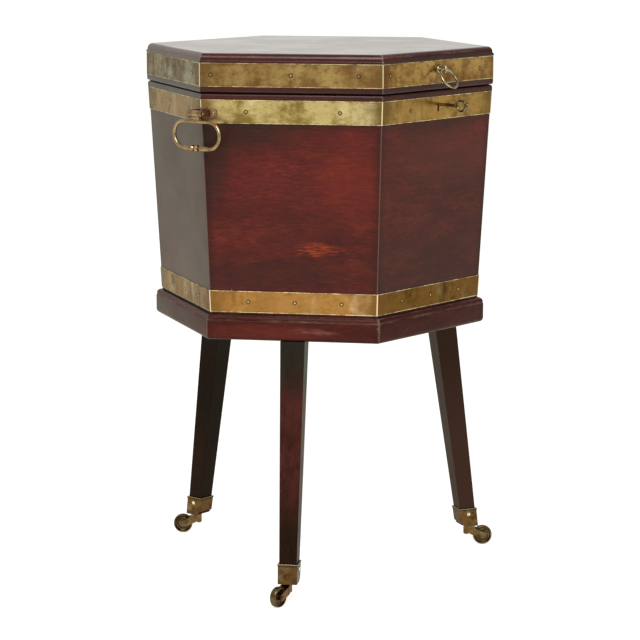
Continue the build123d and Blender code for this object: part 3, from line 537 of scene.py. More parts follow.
# %% Stains of the near faces
deep_brown = (0.045, 0.0085, 0.0078, 1)
case_red = (0.134, 0.0175, 0.0140, 1)
dark_red = (0.030, 0.0070, 0.0055, 1)
moulding_red = (0.098, 0.0160, 0.0105, 1)
flame_orange = (0.36, 0.060, 0.014, 1)
# A near-black used for stains and for painted shadow.
stain_and_shadow_black = (0.020, 0.010, 0.007, 1)
bare_wood = (0.40, 0.33, 0.28, 1)

# Each stain or patch of painted shade: face, along, height, half length, half height, colour, strength,
# raggedness.
panel_stains_and_shade = (
    # Painted shade: the whole back-left side is darkened olive-brown.
    ("back_left", 0.0, 0.51, 0.50, 0.60, (0.040, 0.023, 0.011, 1), 0.6, 0.6),
    ("front_left", 0.036, 0.458, 0.030, 0.009, (0.34, 0.048, 0.012, 1), 0.8, 7.0),
    ("front_left", 0.070, 0.545, 0.050, 0.060, (0.22, 0.026, 0.013, 1), 0.3, 2.5),
    # The next two marks are painted shadow of the handle, darkest by the corner it hangs on.
    ("front_left", -0.060, 0.608, 0.085, 0.030, stain_and_shadow_black, 0.9, 1.4),
    ("front_left", -0.104, 0.575, 0.026, 0.070, stain_and_shadow_black, 0.85, 1.4),
    ("front_left", -0.030, 0.425, 0.090, 0.022, stain_and_shadow_black, 0.5, 2.5),
    # Painted shade: a dark strip just under the upper band, across the face.
    ("front_left", 0.0, 0.6175, 0.16, 0.007, stain_and_shadow_black, 0.6, 1.0),
    ("front", -0.02, 0.43, 0.14, 0.045, stain_and_shadow_black, 0.4, 1.8),
    ("front", 0.03, 0.57, 0.12, 0.045, (0.15, 0.035, 0.025, 1), 0.35, 1.8),
    # Painted shade: a dark strip just under the upper band, across this face too.
    ("front", 0.0, 0.614, 0.12, 0.010, stain_and_shadow_black, 0.5, 1.6),
)
base_marks = (
    ("front_left", 0.030, 0.352, 0.030, 0.004, (0.26, 0.13, 0.11, 1), 0.5, 6.0),
    ("front_left", 0.118, 0.356, 0.008, 0.014, bare_wood, 0.7, 5.0),
    ("front", -0.120, 0.356, 0.008, 0.014, bare_wood, 0.6, 5.0),
    ("front_left", -0.030, 0.350, 0.090, 0.012, (0.17, 0.026, 0.018, 1), 0.5, 2.5),
    ("front", 0.120, 0.356, 0.006, 0.014, (0.36, 0.30, 0.25, 1), 0.6, 5.0),
)
# Painted shade: the rim's back-left side is darkened.
rim_side_shade = (("back_left", 0.0, 0.66, 0.5, 0.1, (0.026, 0.018, 0.010, 1), 0.7, 0.6),)

# %% The mahogany finishes
base_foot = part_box("base_board")[0][2]
moulding_foot, moulding_top = (corner[2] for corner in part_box("base_moulding"))
lid_joint = joints["lid_hinge"]["pos_m"][2]

panel_wood = board_material(
    "panel_mahogany", deep_brown, case_red, flame_orange, 0.2,
    seed=0.4, grime=0.5, marks=panel_stains_and_shade, arris=0.5,
)
rim_wood = board_material(
    "rim_mahogany", dark_red, moulding_red, flame_orange, 0.1,
    seed=5.0, gloss=1.3, grime=0.4, arris=0.5, joint=lid_joint, marks=rim_side_shade,
)
base_wood = board_material(
    "base_mahogany", dark_red, (0.080, 0.0150, 0.0105, 1), (0.16, 0.03, 0.018, 1), 0.3,
    seed=9.0, edges=(base_foot, moulding_foot, moulding_top), wear=0.6, worn_colour=old_grey,
    grime=0.3, rough=0.36, gloss=1.18, arris=0.35, joint=moulding_top + 0.001, marks=base_marks,
)
lid_wood = board_material(
    "lid_mahogany", dark_red, (0.075, 0.0145, 0.0100, 1), flame_orange, 0.1,
    seed=14.0, edges=(lid_top - 0.004,), wear=0.3, grime=0.2, rough=0.2, gloss=1.3, coat=0.48,
    arris=0.5, slab=(lid_foot, lid_top),
)
inner_wood = board_material(
    "inner_boards", (0.10, 0.05, 0.03, 1), (0.26, 0.14, 0.08, 1), (0.36, 0.2, 0.1, 1), 0.2,
    seed=20.0, grime=0.2, rough=0.6, gloss=1.3,
)

# %% [markdown]
# The legs are nearly black, and their grain runs upwards, so the height goes where the length of a
# board went. The near leg is rubbed red half way up, the tops are darkened by painted shade under the
# base board, with some dirt, and the right-hand leg is a little faded.

# %% Legs
rubbed_height = 0.21
top_darkening_from, top_darkening_to = 0.25, 0.315


def leg_material():
    """Near-black polished wood whose grain runs up the leg."""
    material, principled, position = new_material("leg_mahogany")
    x, y, z = split(position)
    wood = use(wood_group, {
        "Board": combined(material.node_tree, z, x, y), "Seed": 30.0, "Flame Share": 0.2,
        "Deep": (0.0085, 0.0046, 0.0017, 1), "Red": (0.030, 0.0110, 0.0046, 1),
        "Flame": (0.07, 0.02, 0.012, 1),
    })
    cloudy = noise(position, 33.0, (60, 60, 22), detail=6.0, roughness=0.75)
    near_leg = between(x, -0.06, -0.12)
    rubbed = fading(abs(z - rubbed_height), 0.04, 0.13) * near_leg * between(cloudy, 0.36, 0.6, 0.3, 1.0)
    # Painted shade under the base board, with some dirt: the tops darken upwards, in clouds.
    shade_and_dirt = between(z, top_darkening_from, top_darkening_to) * between(cloudy, 0.34, 0.58, 0.45, 1.0)
    faded = between(x, 0.02, 0.08, 0.0, 0.7)
    colour = blend(rubbed, wood["Color"], (0.062, 0.0150, 0.0115, 1))
    colour = blend(shade_and_dirt * 0.8, colour, (0.017, 0.018, 0.013, 1))
    colour = blend(faded, colour, (0.064, 0.030, 0.020, 1))
    plug(principled, {"Base Color": colour})
    polish(principled, position, wood["Pores"], rough=0.4, gloss=1.14)
    return material


leg_wood = leg_material()
print("nodes of the legs' wood:", len(leg_wood.node_tree.nodes))

# %% [markdown]
# Old brass that has been polished now and then for two hundred years is pale gold where the cloth
# goes, brown where it doesn't, and dark in the recesses. The patina group lays upright smears, brown
# clouds and small black specks over the metal, and makes it rougher there. The smears of darker and
# paler brass are partly tarnish and partly painted reflection, and pale cream spots over them are
# painted highlights. Rubbed says where hands have kept it clean, the highlight input how strong the
# painted highlights are, and Dull Tint how the darker smears are tinted.

# %% Patina
patina_and_sheen_group, given, result = group_with(
    "brass_patina",
    [
        ("Board", "Vector", None),
        ("Seed", "Float", 0.0),
        ("Bright", "Color", (0.70, 0.51, 0.20, 1)),
        ("Brown", "Color", (0.34, 0.17, 0.055, 1)),
        ("Dark", "Color", (0.06, 0.035, 0.015, 1)),
        ("Amount", "Float", 0.5),
        ("Brown From", "Float", 0.44),
        ("Rubbed", "Float", 0.0),
        ("Painted Highlight", "Float", 0.7),
        ("Dull Tint", "Color", (0.34, 0.28, 0.16, 1)),
    ],
    [("Color", "Color"), ("Roughness", "Float"), ("Height", "Float")],
)
board, seed, brown_from = given["Board"], given["Seed"], given["Brown From"]
clouds = noise(board, seed, (26, 34, 26), detail=6.0, roughness=0.7)
smears = noise(board, seed + 3.0, (26, 5, 26), detail=3.0, roughness=0.55)
mottle = noise(board, seed + 6.0, (130, 170, 130), detail=4.0, roughness=0.7)
specks = noise(board, seed + 9.0, (240, 420, 240), detail=3.0, roughness=0.75)
scratch = noise(board, seed + 12.0, (20, 1400, 20), detail=2.0)
highlight_spots = noise(board, seed + 15.0, (24, 12, 24), detail=4.0, roughness=0.6)
smear = clouds * 0.55 + smears * 0.45
amount = given["Amount"] * (1.0 - given["Rubbed"]).clipped()
browned = (between(smear, brown_from, brown_from + 0.2, 0.0, 0.75) * amount).clipped()
flecked = (between(mottle, 0.48, 0.7, 0.0, 0.5) * amount).clipped()
blackened = (between(specks, 0.62, 0.76, 0.0, 0.9) * (between(clouds, 0.42, 0.6) * amount)).clipped()
# The darker and paler upright smears are partly tarnish and partly painted reflection.
darker_brass = blend(1.0, given["Bright"], given["Dull Tint"], kind="MULTIPLY")
gold = blend(between(smear, 0.40, 0.57), darker_brass, given["Bright"])
# Painted highlights: pale cream spots laid over the brass.
gold = blend(between(highlight_spots, 0.52, 0.72) * given["Painted Highlight"], gold, (0.86, 0.76, 0.48, 1))
aged = blend(flecked, blend(browned, gold, given["Brown"]), given["Brown"])
plug(result, {
    "Color": blend(blackened, aged, given["Dark"]),
    "Roughness": 0.2 + (browned * 0.14 + scratch * 0.1),
    "Height": smears + mottle * 0.12,
})
print("nodes in the patina group:", len(patina_and_sheen_group.nodes))

# %% [markdown]
# Brass for the small fittings. Handles, casters, hinges and screws are cast or cut brass, clouded in
# all directions, so they take the patina straight from their position. A metal's colour at a
# glancing angle is its Specular Tint, and a greyish one keeps the edges from glowing yellow. The
# lock's bolt, the key and the lead liner are other metals, but they age in the same way.

# %% Small fittings
grazing_grey = (0.58, 0.62, 0.69, 1)
lip_highlight = (0.48, 0.36, 0.22, 1)


def brass_surface(principled, colour, patina, bump, depth, metallic=1.0):
    """What all aged metal shares: colour, roughness, uneven surface and glancing colour."""
    plug(principled, {
        "Base Color": colour,
        "Roughness": patina["Roughness"],
        "Metallic": metallic,
        "Normal": bumped(patina["Height"], bump, depth),
        "Specular Tint": grazing_grey,
    })


def brass_material(
    name, amount, seed=0.0, scale=2.2, bright=(0.70, 0.51, 0.20, 1), brown=(0.34, 0.17, 0.055, 1),
    dark=(0.06, 0.035, 0.015, 1), bump=0.3, dull_tint=(0.33, 0.28, 0.18, 1), metallic=1.0,
    roughness=None, lip=None,
):
    """Aged metal, clouded in all directions. A given roughness takes the place of the polished one,
    and lip is the height of an edge that gets a thin painted highlight, above a darker band."""
    material, principled, position = new_material(name)
    patina = use(patina_and_sheen_group, {
        "Board": vector_node("MULTIPLY", position, (scale, scale, scale)), "Seed": seed,
        "Bright": bright, "Brown": brown, "Dark": dark, "Amount": amount,
        "Painted Highlight": 0.15, "Dull Tint": dull_tint,
    })
    colour = patina["Color"]
    if lip:
        # Painted highlight: a thin bright line under the lip's edge, with a darker band below it.
        below = lip - split(position)[2]
        colour = blend(fading(below, 0.0012, 0.0050, 0.75), colour, dark)
        colour = blend(fading(below, 0.0008, 0.0012, 0.6), colour, lip_highlight)
    if roughness:
        patina["Roughness"] = roughness
    brass_surface(principled, colour, patina, bump, 0.0004, metallic)
    return material


# %% The metal finishes
coppery = {"bump": 0.12, "dull_tint": (0.55, 0.48, 0.38, 1)}
metal_looks = {
    "handle_brass": dict(
        amount=0.55, seed=3.0, bright=(0.46, 0.31, 0.18, 1), brown=(0.10, 0.056, 0.027, 1), **coppery),
    "bracket_brass": dict(
        amount=0.8, seed=5.0, bright=(0.36, 0.22, 0.14, 1), brown=(0.07, 0.038, 0.021, 1), **coppery),
    "ring_brass": dict(amount=0.6, seed=2.0, bright=(0.56, 0.49, 0.33, 1), brown=(0.15, 0.115, 0.06, 1)),
    "hinge_brass": dict(amount=0.5, seed=4.0),
    "caster_brass": dict(
        amount=0.9, seed=6.0, bright=(0.26, 0.145, 0.060, 1), brown=(0.065, 0.030, 0.012, 1),
        dark=(0.015, 0.010, 0.007, 1)),
    "cup_brass": dict(
        amount=1.0, seed=6.5, bright=(0.21, 0.110, 0.042, 1), brown=(0.055, 0.025, 0.010, 1),
        dark=(0.015, 0.010, 0.007, 1), lip=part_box("caster_cup_back")[1][2]),
    "wheel_brass": dict(
        amount=1.0, seed=8.0, bright=(0.20, 0.135, 0.070, 1), brown=(0.050, 0.030, 0.015, 1),
        dark=(0.012, 0.011, 0.008, 1)),
    "screw_brass": dict(amount=0.3, seed=17.0, bright=(0.95, 0.86, 0.62, 1), dull_tint=(0.8, 0.75, 0.62, 1)),
    "lock_iron": dict(
        amount=0.8, seed=9.0, bright=(0.20, 0.17, 0.13, 1), brown=(0.09, 0.05, 0.03, 1),
        dark=(0.02, 0.015, 0.01, 1)),
    "key_iron": dict(
        amount=0.8, seed=10.0, bright=(0.30, 0.24, 0.16, 1), brown=(0.045, 0.030, 0.018, 1),
        dark=(0.015, 0.010, 0.006, 1)),
    "liner_lead": dict(
        amount=0.8, seed=12.0, scale=0.6, bright=(0.40, 0.41, 0.42, 1), brown=(0.27, 0.27, 0.265, 1),
        dark=(0.17, 0.17, 0.165, 1), dull_tint=(0.8, 0.8, 0.8, 1), metallic=0.25, roughness=0.62),
}
metal = {name: brass_material(name, **look) for name, look in metal_looks.items()}
print("metals:", ", ".join(metal))

# %% [markdown]
# Clean copies of the solids. A solid's surface comes as triangles with hard edges. Real edges are
# never that sharp: a cabinet maker takes them off with a plane, and two hundred years round them
# more. So each visible board and band is copied, its triangles are joined into flat faces, and every
# edge gets a small bevel that catches the light. The copy then stands for the solid. Where six
# lengths meet in mitres, the faces inside the joints are left out, because nothing shows there.

# %% Copy a solid
same_point = 0.000002
on_plane = 0.00003


def board_place(point):
    """Where a point lies on its face of the hexagon: along it, and outwards."""
    face_turn = round(atan2(point.x, -point.y) / sixth_turn) * pi / 3
    along = point.x * cos(face_turn) + point.y * sin(face_turn)
    return along, point.x * sin(face_turn) - point.y * cos(face_turn)


def on_mitre(point):
    """Whether a point lies on the plane through a corner of the hexagon."""
    along, out = board_place(point)
    return abs(out * half_face - abs(along)) < on_plane


def surface_of(name):
    """A solid's surface with its corners merged."""
    skin = bmesh.new()
    skin.from_mesh(nodes[name].data)
    bmesh.ops.remove_doubles(skin, verts=skin.verts, dist=same_point)
    return skin


def skin_of(name, mitred=False):
    """A solid's surface with its flat triangles joined into faces, and no faces inside mitres."""
    skin = surface_of(name)
    if mitred:
        hidden = [
            face for face in skin.faces
            if on_mitre(face.calc_center_median()) and all(on_mitre(vert.co) for vert in face.verts)
        ]
        bmesh.ops.delete(skin, geom=hidden, context="FACES")
    bmesh.ops.dissolve_limit(skin, angle_limit=radians(0.5), verts=skin.verts, edges=skin.edges)
    return skin


# %% Make a piece and let it stand for a solid
def stands_for(piece, *names):
    """The piece replaces solids, and rides as they do."""
    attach(piece, body_of(nodes[names[0]])[0])
    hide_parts(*names)


def piece_from(skin, name, finish, smooth_angle=35.0):
    """Turn a bmesh into an object with one material and crisp edges where it folds."""
    mesh = bpy.data.meshes.new(name)
    skin.to_mesh(mesh)
    skin.free()
    for layer in ("custom_normal", "sharp_face", "sharp_edge"):
        if layer in mesh.attributes:
            mesh.attributes.remove(mesh.attributes[layer])
    mesh.shade_smooth()
    mesh.set_sharp_from_angle(angle=radians(smooth_angle))
    mesh.materials.clear()
    mesh.materials.append(finish)
    piece = bpy.data.objects.new(name, mesh)
    bpy.context.scene.collection.objects.link(piece)
    return piece


def with_modifiers(piece):
    """The mesh of a piece with its modifiers applied."""
    depsgraph = bpy.context.evaluated_depsgraph_get()
    return bpy.data.meshes.new_from_object(piece.evaluated_get(depsgraph))


# %% Ease the edges
def eased(name, finish, width, mitred=False, segments=2, level_width=0.0):
    """A copy of a solid with its edges eased by a bevel; level_width is for its long level edges."""
    skin = skin_of(name, mitred)
    weights = skin.edges.layers.float.new("bevel_weight_edge")
    widest = max(width, level_width)
    for edge in skin.edges:
        first, last = (vert.co for vert in edge.verts)
        long_and_level = abs(first.z - last.z) < 0.0001 and edge.calc_length() > 0.05
        if edge.calc_face_angle(0.0) > radians(28):
            edge[weights] = 1.0 if long_and_level else width / widest
    rough = piece_from(skin, f"{name}_rough", finish)
    bevel = rough.modifiers.new("eased edges", "BEVEL")
    bevel.width = widest
    bevel.segments = segments
    bevel.limit_method = "WEIGHT"
    bevel.use_clamp_overlap = True
    skin = bmesh.new()
    skin.from_mesh(with_modifiers(rough))
    bpy.data.objects.remove(rough)
    bmesh.ops.dissolve_degenerate(skin, dist=0.00001, edges=skin.edges)
    piece = piece_from(skin, f"{name}_eased", finish)
    stands_for(piece, name)
    normals = piece.modifiers.new("flat faces stay flat", "WEIGHTED_NORMAL")
    normals.keep_sharp = True
    normals.weight = 100


# %% [markdown]
# The base board is one thick piece with a round foot, a smaller round on top, and softened corners.
# A bevel can't give three different radii at one corner, so the board is built from rings: each
# ring is a hexagon with rounded corners, set in as far as the profile says.

# %% A hexagonal board with rounded edges
def hexagon_ring(skin, flat, radius, z, steps):
    """Points round a hexagon with rounded corners; flat is the distance from its middle to a side."""
    ring = []
    for corner in range(6):
        turn = radians(60 * corner)
        centre = Vector((cos(turn), sin(turn), 0)) * (flat - radius) / cos(pi / 6)
        for step in range(steps + 1):
            angle = turn + radians(60 * step / steps - 30)
            ring.append(skin.verts.new(centre + Vector((cos(angle) * radius, sin(angle) * radius, z))))
    return ring


def join_rings(skin, rings):
    """Lay faces between each ring of points and the next one."""
    for ring, following in zip(rings, rings[1:]):
        for point in range(len(ring)):
            after = (point + 1) % len(ring)
            skin.faces.new((ring[point], ring[after], following[after], following[point]))


def rounded_slab(name, finish, foot, arris, corner_radius, steps=6):
    """A hexagonal board with a round foot, a smaller round on top, and rounded corners."""
    lowest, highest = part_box(name)
    skin = bmesh.new()
    angles = [radians(90 * step / steps) for step in range(steps + 1)]
    profile = [(foot * (1 - sin(angle)), lowest[2] + foot * (1 - cos(angle))) for angle in angles]
    profile += [(arris * (1 - cos(angle)), highest[2] - arris * (1 - sin(angle))) for angle in angles]
    rings = [
        hexagon_ring(skin, highest[1] - inset, max(corner_radius - inset, 0.0005), z, steps)
        for inset, z in profile
    ]
    join_rings(skin, rings)
    skin.faces.new(reversed(rings[0]))
    skin.faces.new(rings[-1])
    print(name, "has", len(rings), "rings of", len(rings[0]), "points")
    stands_for(piece_from(skin, f"{name}_rounded", finish), name)


# %% [markdown]
# Boards and mouldings. Panels and legs only have their sharp edges taken off, the rims are true
# mouldings with rounded level edges, and the lid's edge is soft, because every hand that opens the
# chest touches it.

# %% Boards and mouldings
moulding = dict(mitred=True, segments=4, level_width=0.0022)
legs = ("front_left", "front_right", "back")
for side in face_number:
    eased(f"side_panel_{side}", panel_wood, 0.0004)
eased("case_rim", rim_wood, 0.0006, **moulding)
eased("lid_rim", rim_wood, 0.0006, **moulding)
eased("base_moulding", base_wood, 0.0006, mitred=True)
rounded_slab("base_board", base_wood, foot=0.0060, arris=0.0022, corner_radius=0.0060)
eased("lid_board", lid_wood, 0.0012, segments=3)
for leg in legs:
    eased(f"leg_{leg}", leg_wood, 0.0006)

# %% [markdown]
# Where the pins are. The bands are pinned to the wood, and dirt gathers round every pin head. The
# places are read from the solids, so that the dirt sits where the pins are: a node of pins is taken
# apart into its loose parts, and the middle of each is one place.

# %% Loose parts of a solid
def loose_parts(name):
    """The separate solids of a node, each as the list of its points."""
    skin = surface_of(name)
    found, parts = set(), []
    for first in skin.verts:
        if first in found:
            continue
        found.add(first)
        part = [first]
        for vert in part:
            for edge in vert.link_edges:
                other = edge.other_vert(vert)
                if other not in found:
                    found.add(other)
                    part.append(other)
        parts.append([vert.co.copy() for vert in part])
    skin.free()
    return parts


# %% Places of the pins
def pin_places(name, low, high):
    """Where pins between two heights sit on a face: the different (along, height) pairs."""
    found = set()
    for part in loose_parts(name):
        middle = sum(part, Vector()) / len(part)
        if low < middle.z < high:
            found.add((round(board_place(middle)[0], 4), round(middle.z, 4)))
    return sorted(found)


def pin_distance(face, pins):
    """Distance on the board to the middle of the nearest pin."""
    nearest = None
    for along, height in pins:
        sideways, rise = face["Along"] - along, face["Height"] - height
        distance = math_node("SQRT", sideways * sideways + rise * rise)
        nearest = math_node("MINIMUM", nearest, distance) if nearest else distance
    return nearest


# %% [markdown]
# The bands are rolled brass, filed flush and bent round the case. Each face of a band gets its own
# tone: on the near faces it is painted shade and painted reflection, and on the far faces made-up
# ageing. Over the patina lie, in this order: brown ends near the corners, grime and nicks along the
# edges, a painted highlight along each edge, long scars, a painted highlight along the corners, and a
# dark ring round each pin.

# %% Band material
scar_brown, nick_brown, grime_brown = (0.09, 0.055, 0.02, 1), (0.07, 0.04, 0.017, 1), (0.13, 0.07, 0.025, 1)
# Painted highlights: a bright line along a band's edges, and the same along its corners.
edge_highlight, corner_highlight = (0.98, 0.84, 0.52, 1), (0.95, 0.80, 0.50, 1)
ends_tint = (0.72, 0.66, 0.62, 1)


def band_edges(colour, face, low, high):
    """Grime, nicks and a painted highlight line along the two edges of a band, and long scars across it."""
    board, height = face["Board"], face["Height"]
    to_edge = math_node("MINIMUM", height - low, high - height)
    ragged = noise(board, 50.0, (70, 300, 70), detail=5.0, roughness=0.75)
    nicks = noise(board, 55.0, 70.0, detail=6.0, roughness=0.8)
    scar = noise(board, 58.0, (30, 95, 30), detail=5.0, roughness=0.7, distortion=1.5)
    grime = fading(to_edge - (ragged - 0.5) * 0.014, -0.001, 0.002, 0.7)
    nicked = between(nicks, 0.50, 0.64) * fading(to_edge, 0.0006, 0.0024, 0.65)
    # Painted highlight: a bright broken line right at each edge of the band.
    edge_highlight_mask = between(nicks, 0.42, 0.56, 1.0, 0.25) * fading(to_edge, 0.0003, 0.0011, 0.8)
    scarred = fading(abs(scar - 0.62), 0.002, 0.012, 0.6)
    colour = blend(grime, colour, grime_brown)
    colour = blend(nicked, colour, nick_brown)
    colour = blend(edge_highlight_mask, colour, edge_highlight)
    return blend(scarred, colour, scar_brown)


def band_material(name, low, high, pins, tones_and_shade, seed, bright, brown, amount, painted_highlight, dull_tint, brown_from):
    """Rolled brass of a band, with a tone for each face, which is painted shade and painted reflection on
    the near faces.
    """
    material, principled, position = new_material(name)
    face = on_board(position)
    corner, own_seed = face["Mitre Distance"], face["Face"] * 2.13 + seed
    worn = use(wear_group, {"Position": position, "Distance": corner, "Reach": 0.004, "Strength": 1.0})
    patina = use(patina_and_sheen_group, {
        "Board": face["Board"], "Seed": own_seed, "Bright": bright, "Brown": brown, "Amount": amount,
        "Rubbed": math_node("MAXIMUM", worn["Mask"], fading(corner, 0.0, 0.0016)),
        "Painted Highlight": painted_highlight, "Dull Tint": dull_tint, "Brown From": brown_from,
    })
    colour = patina["Color"]
    # Tones per face: painted shade and painted reflection on the near faces, made-up ageing on the far ones.
    for side, tone in tones_and_shade.items():
        colour = blend(on_face(face, side), colour, tone, kind="MULTIPLY")
    drift = noise(face["Board"], own_seed, 40.0, detail=4.0)
    ends = fading(corner + (drift - 0.5) * 0.06, -0.004, 0.036, 0.9)
    colour = blend(ends, colour, tuple(value * tint for value, tint in zip(brown, ends_tint)))
    colour = band_edges(colour, face, low, high)
    # Painted highlight: a bright line along each corner of the band.
    colour = blend(fading(corner, 0.0004, 0.0013, 0.85), colour, corner_highlight)
    ring = abs(pin_distance(face, pins) - 0.0022)
    colour = blend(fading(ring, 0.0002, 0.0012, 0.85), colour, (0.07, 0.040, 0.017, 1))
    brass_surface(principled, colour, patina, 0.5, 0.0008)
    return material


# %% [markdown]
# Three bands. The lower band is the warmest and darkest, the upper one the clearest, and the lid's
# is the palest and most spotted. On the near faces the tones are painted shade and painted reflection,
# and the three far ones go on in the same way with made-up tones. A table holds what differs, so that
# the bands can be compared at a glance.

# %% Bands
sunken = (0.34, 0.28, 0.16, 1)
# The tones of the near faces are painted shade and painted reflection; those of the far faces are made up.
band_looks = {
    "lower_band": dict(
        seed=1.0, bright=(0.56, 0.30, 0.090, 1), brown=(0.23, 0.115, 0.037, 1), amount=0.7, painted_highlight=0.65,
        dull_tint=sunken, brown_from=0.44, tones_and_shade={
            "back_left": (0.85, 0.83, 0.74, 1), "front_left": (0.78, 0.72, 0.70, 1),
            "front": (0.38, 0.34, 0.24, 1), "front_right": (0.60, 0.52, 0.42, 1),
            "back_right": (0.72, 0.64, 0.52, 1), "back": (0.52, 0.46, 0.36, 1),
        }),
    "upper_band": dict(
        seed=3.0, bright=(0.70, 0.54, 0.245, 1), brown=(0.22, 0.135, 0.050, 1), amount=0.6, painted_highlight=0.65,
        dull_tint=sunken, brown_from=0.44, tones_and_shade={
            "back_left": (0.755, 0.60, 0.515, 1), "front_left": (1.0, 1.0, 1.0, 1),
            "front": (0.70, 0.54, 0.37, 1), "front_right": (0.68, 0.57, 0.42, 1),
            "back_right": (0.60, 0.48, 0.36, 1), "back": (0.72, 0.62, 0.44, 1),
        }),
    "lid_band": dict(
        seed=6.0, bright=(0.74, 0.57, 0.25, 1), brown=(0.24, 0.125, 0.042, 1), amount=1.2, painted_highlight=1.0,
        dull_tint=(1.0, 1.0, 1.0, 1), brown_from=0.42, tones_and_shade={
            "back_left": (0.54, 0.52, 0.58, 1), "front_left": (0.65, 0.56, 0.49, 1),
            "front": (0.71, 0.55, 0.43, 1), "front_right": (0.62, 0.53, 0.42, 1),
            "back_right": (0.54, 0.45, 0.37, 1), "back": (0.66, 0.57, 0.46, 1),
        }),
}
pins_of = {"case_band_pins": [], "lid_band_pins": []}
for band, look in band_looks.items():
    low, high = (corner[2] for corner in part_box(band))
    pin_node = "lid_band_pins" if band == "lid_band" else "case_band_pins"
    own_pins = pin_places(pin_node, low, high)
    finish = band_material(f"{band}_brass", low, high, own_pins, **look)
    eased(band, finish, 0.00025, mitred=True)
    pins_of[pin_node] += own_pins
    print(band, "is", round(high - low, 4), "m tall, with pins at", own_pins)

# %% [markdown]
# A pin head is the filed end of a brass pin, brighter than its band, with a dark line where the two
# meet. The solid's shape is right, so it only gets a material that is dark at its rim.

# %% Pin heads
def pin_material(name, pins):
    """A filed pin: dark where it meets the band, bright in the middle."""
    material, principled, position = new_material(name)
    patina = use(patina_and_sheen_group, {
        "Board": position, "Seed": 7.0, "Amount": 1.0,
        "Bright": (0.9, 0.74, 0.42, 1), "Brown": (0.20, 0.12, 0.05, 1),
    })
    rim = between(pin_distance(on_board(position), pins), 0.0007, 0.0015)
    colour = blend(rim, patina["Color"], (0.10, 0.06, 0.028, 1))
    plug(principled, {"Base Color": colour, "Roughness": patina["Roughness"], "Metallic": 1.0})
    return material


def dress(material, *names):
    """Give CAD nodes a material."""
    for name in names:
        mesh = nodes[name].data
        mesh.materials.clear()
        mesh.materials.append(material)


for pin_node, own_pins in pins_of.items():
    dress(pin_material(f"{pin_node}_brass", own_pins), pin_node)
    print(pin_node, "has", len(own_pins), "places on each face")

# %% [markdown]
# Casters. Each leg stands in a square brass cup. Below it a forked arm swivels and holds a turned
# wheel. A turned piece is made as on a lathe: one outline is spun about the axle. That gives true
# rings and a crowned tread, which a plain solid lacks.

# %% Spin an outline
def turned(name, outline, centre, axle, finish, steps=72):
    """Spin (radius, offset along the axle) points about an axle into a closed piece."""
    axle = Vector(axle).normalized()
    start = axle.cross(Vector((0, 0, 1))).normalized()
    other = axle.cross(start)
    skin = bmesh.new()
    rings = []
    for step in range(steps):
        angle = 2 * pi * step / steps
        spoke = start * cos(angle) + other * sin(angle)
        points = [Vector(centre) + spoke * radius + axle * offset for radius, offset in outline]
        rings.append([skin.verts.new(point) for point in points])
    join_rings(skin, rings + rings[:1])
    bmesh.ops.recalc_face_normals(skin, faces=skin.faces)
    return piece_from(skin, name, finish, smooth_angle=50.0)


# %% Wheels
# One side of a wheel as (radius, distance from its middle plane): hub, web with a ring, and tread.
side_outline = [
    (0.00178, 0.0043), (0.0036, 0.0045), (0.0042, 0.0043), (0.0043, 0.0030), (0.0046, 0.0018),
    (0.0060, 0.0015), (0.0068, 0.0016), (0.0072, 0.0021), (0.0077, 0.0021), (0.0081, 0.0016),
    (0.0094, 0.0015), (0.0101, 0.0019), (0.0106, 0.0034), (0.0111, 0.0043), (0.0116, 0.0045),
    (0.0122, 0.0044), (0.0129, 0.0036), (0.0133, 0.0022), (0.0135, 0.0006),
]
wheel_outline = side_outline + [(radius, -offset) for radius, offset in reversed(side_outline)]
for leg in legs:
    roll = joints[f"{leg}_roll"]
    wheel = turned(f"turned_wheel_{leg}", wheel_outline, roll["pos_m"], roll["axis"], metal["wheel_brass"])
    stands_for(wheel, f"caster_wheel_{leg}")
    eased(f"caster_fork_{leg}", metal["caster_brass"], 0.0006)
    eased(f"caster_cup_{leg}", metal["cup_brass"], 0.0003)
print("points round a wheel's outline:", len(wheel_outline))

# %% [markdown]
# Slotted screws. Screws of this age are cut by hand and have one straight slot. The solids have
# plain heads, so each screw is copied and a thin bar is subtracted across its head. The slots point
# all ways, because nobody lined them up.

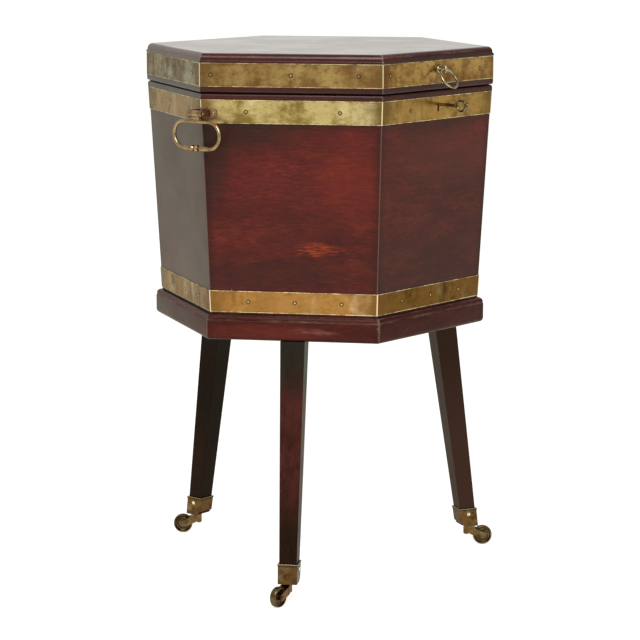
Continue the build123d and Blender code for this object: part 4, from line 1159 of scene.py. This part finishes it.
# %% Cut the slots
def slotted(name, finish, outwards_of, length, width=0.0005, depth=0.0005):
    """Copy a node of screws and cut a slot across each head; outwards_of gives a head's direction."""
    piece = piece_from(skin_of(name), f"{name}_slotted", finish)
    stands_for(piece, name)
    bars = bmesh.new()
    for number, part in enumerate(loose_parts(name)):
        middle = sum(part, Vector()) / len(part)
        out = outwards_of(middle)
        top = max(part, key=lambda point: point.dot(out)).dot(out)
        centre = middle - out * middle.dot(out) + out * top
        across = out.cross(Vector((0.3, 0.2, 1.0))).normalized()
        across.rotate(Matrix.Rotation(0.9 * number, 3, out))
        turn = Matrix((across, out.cross(across), out)).transposed().to_4x4()
        size = Matrix.Diagonal((length, width, 2 * depth, 1.0))
        bmesh.ops.create_cube(bars, size=1.0, matrix=Matrix.Translation(centre) @ turn @ size)
    cutter = piece_from(bars, f"{name}_slots", finish)
    cut = piece.modifiers.new("slots", "BOOLEAN")
    cut.operation = "DIFFERENCE"
    cut.solver = "EXACT"
    cut.object = cutter
    shape = with_modifiers(piece)
    piece.modifiers.clear()
    piece.data = shape
    bpy.data.objects.remove(cutter)
    print(name, "has", number + 1, "slotted heads")


# %% Directions of the screws
def out_of_cup(point):
    """The direction of a caster's screw: sideways out of the nearest leg's cup."""
    leg_turn = round(atan2(point.x, -point.y) / (2 * pi / 3) - 0.5) * 2 * pi / 3 + pi / 3
    across = Vector((cos(leg_turn), sin(leg_turn), 0))
    return across if point.dot(across) > 0 else -across


def out_of_face(point):
    """The direction of a bracket's screw: straight out of the face that it sits on."""
    return Vector((copysign(cos(pi / 6), point.x), copysign(sin(pi / 6), point.y), 0))


slotted("caster_screws", metal["screw_brass"], out_of_cup, 0.012)
slotted("handle_screws", metal["handle_brass"], out_of_face, 0.006)

# %% [markdown]
# The other fittings keep the shape of their solids: bails, ring, lock, hinges, key and the inside of
# the chest. Only the two brackets, which stand out at the corners, get eased edges.

# %% Fittings that keep their solid shape
for side in ("left", "right"):
    eased(f"handle_bracket_{side}", metal["bracket_brass"], 0.0004)
dress(inner_wood, "bottom_board", "divider_hub", "divider_slats", "lid_rails")
dress(metal["handle_brass"], "bail_left", "bail_right", "handle_pins")
dress(metal["ring_brass"], "ring_eye", "ring_pull")
dress(
    metal["hinge_brass"], "lock_case", "lock_cover", "lock_screws", "link_plate", "link_screws",
    "hinge_case_leaves", "hinge_lid_leaves", "hinge_pins", "hinge_case_screws", "hinge_lid_screws",
)
dress(metal["lock_iron"], "lock_bolt", *[f"caster_axle_{leg}" for leg in legs])
dress(metal["key_iron"], "key")
dress(metal["liner_lead"], "liner")
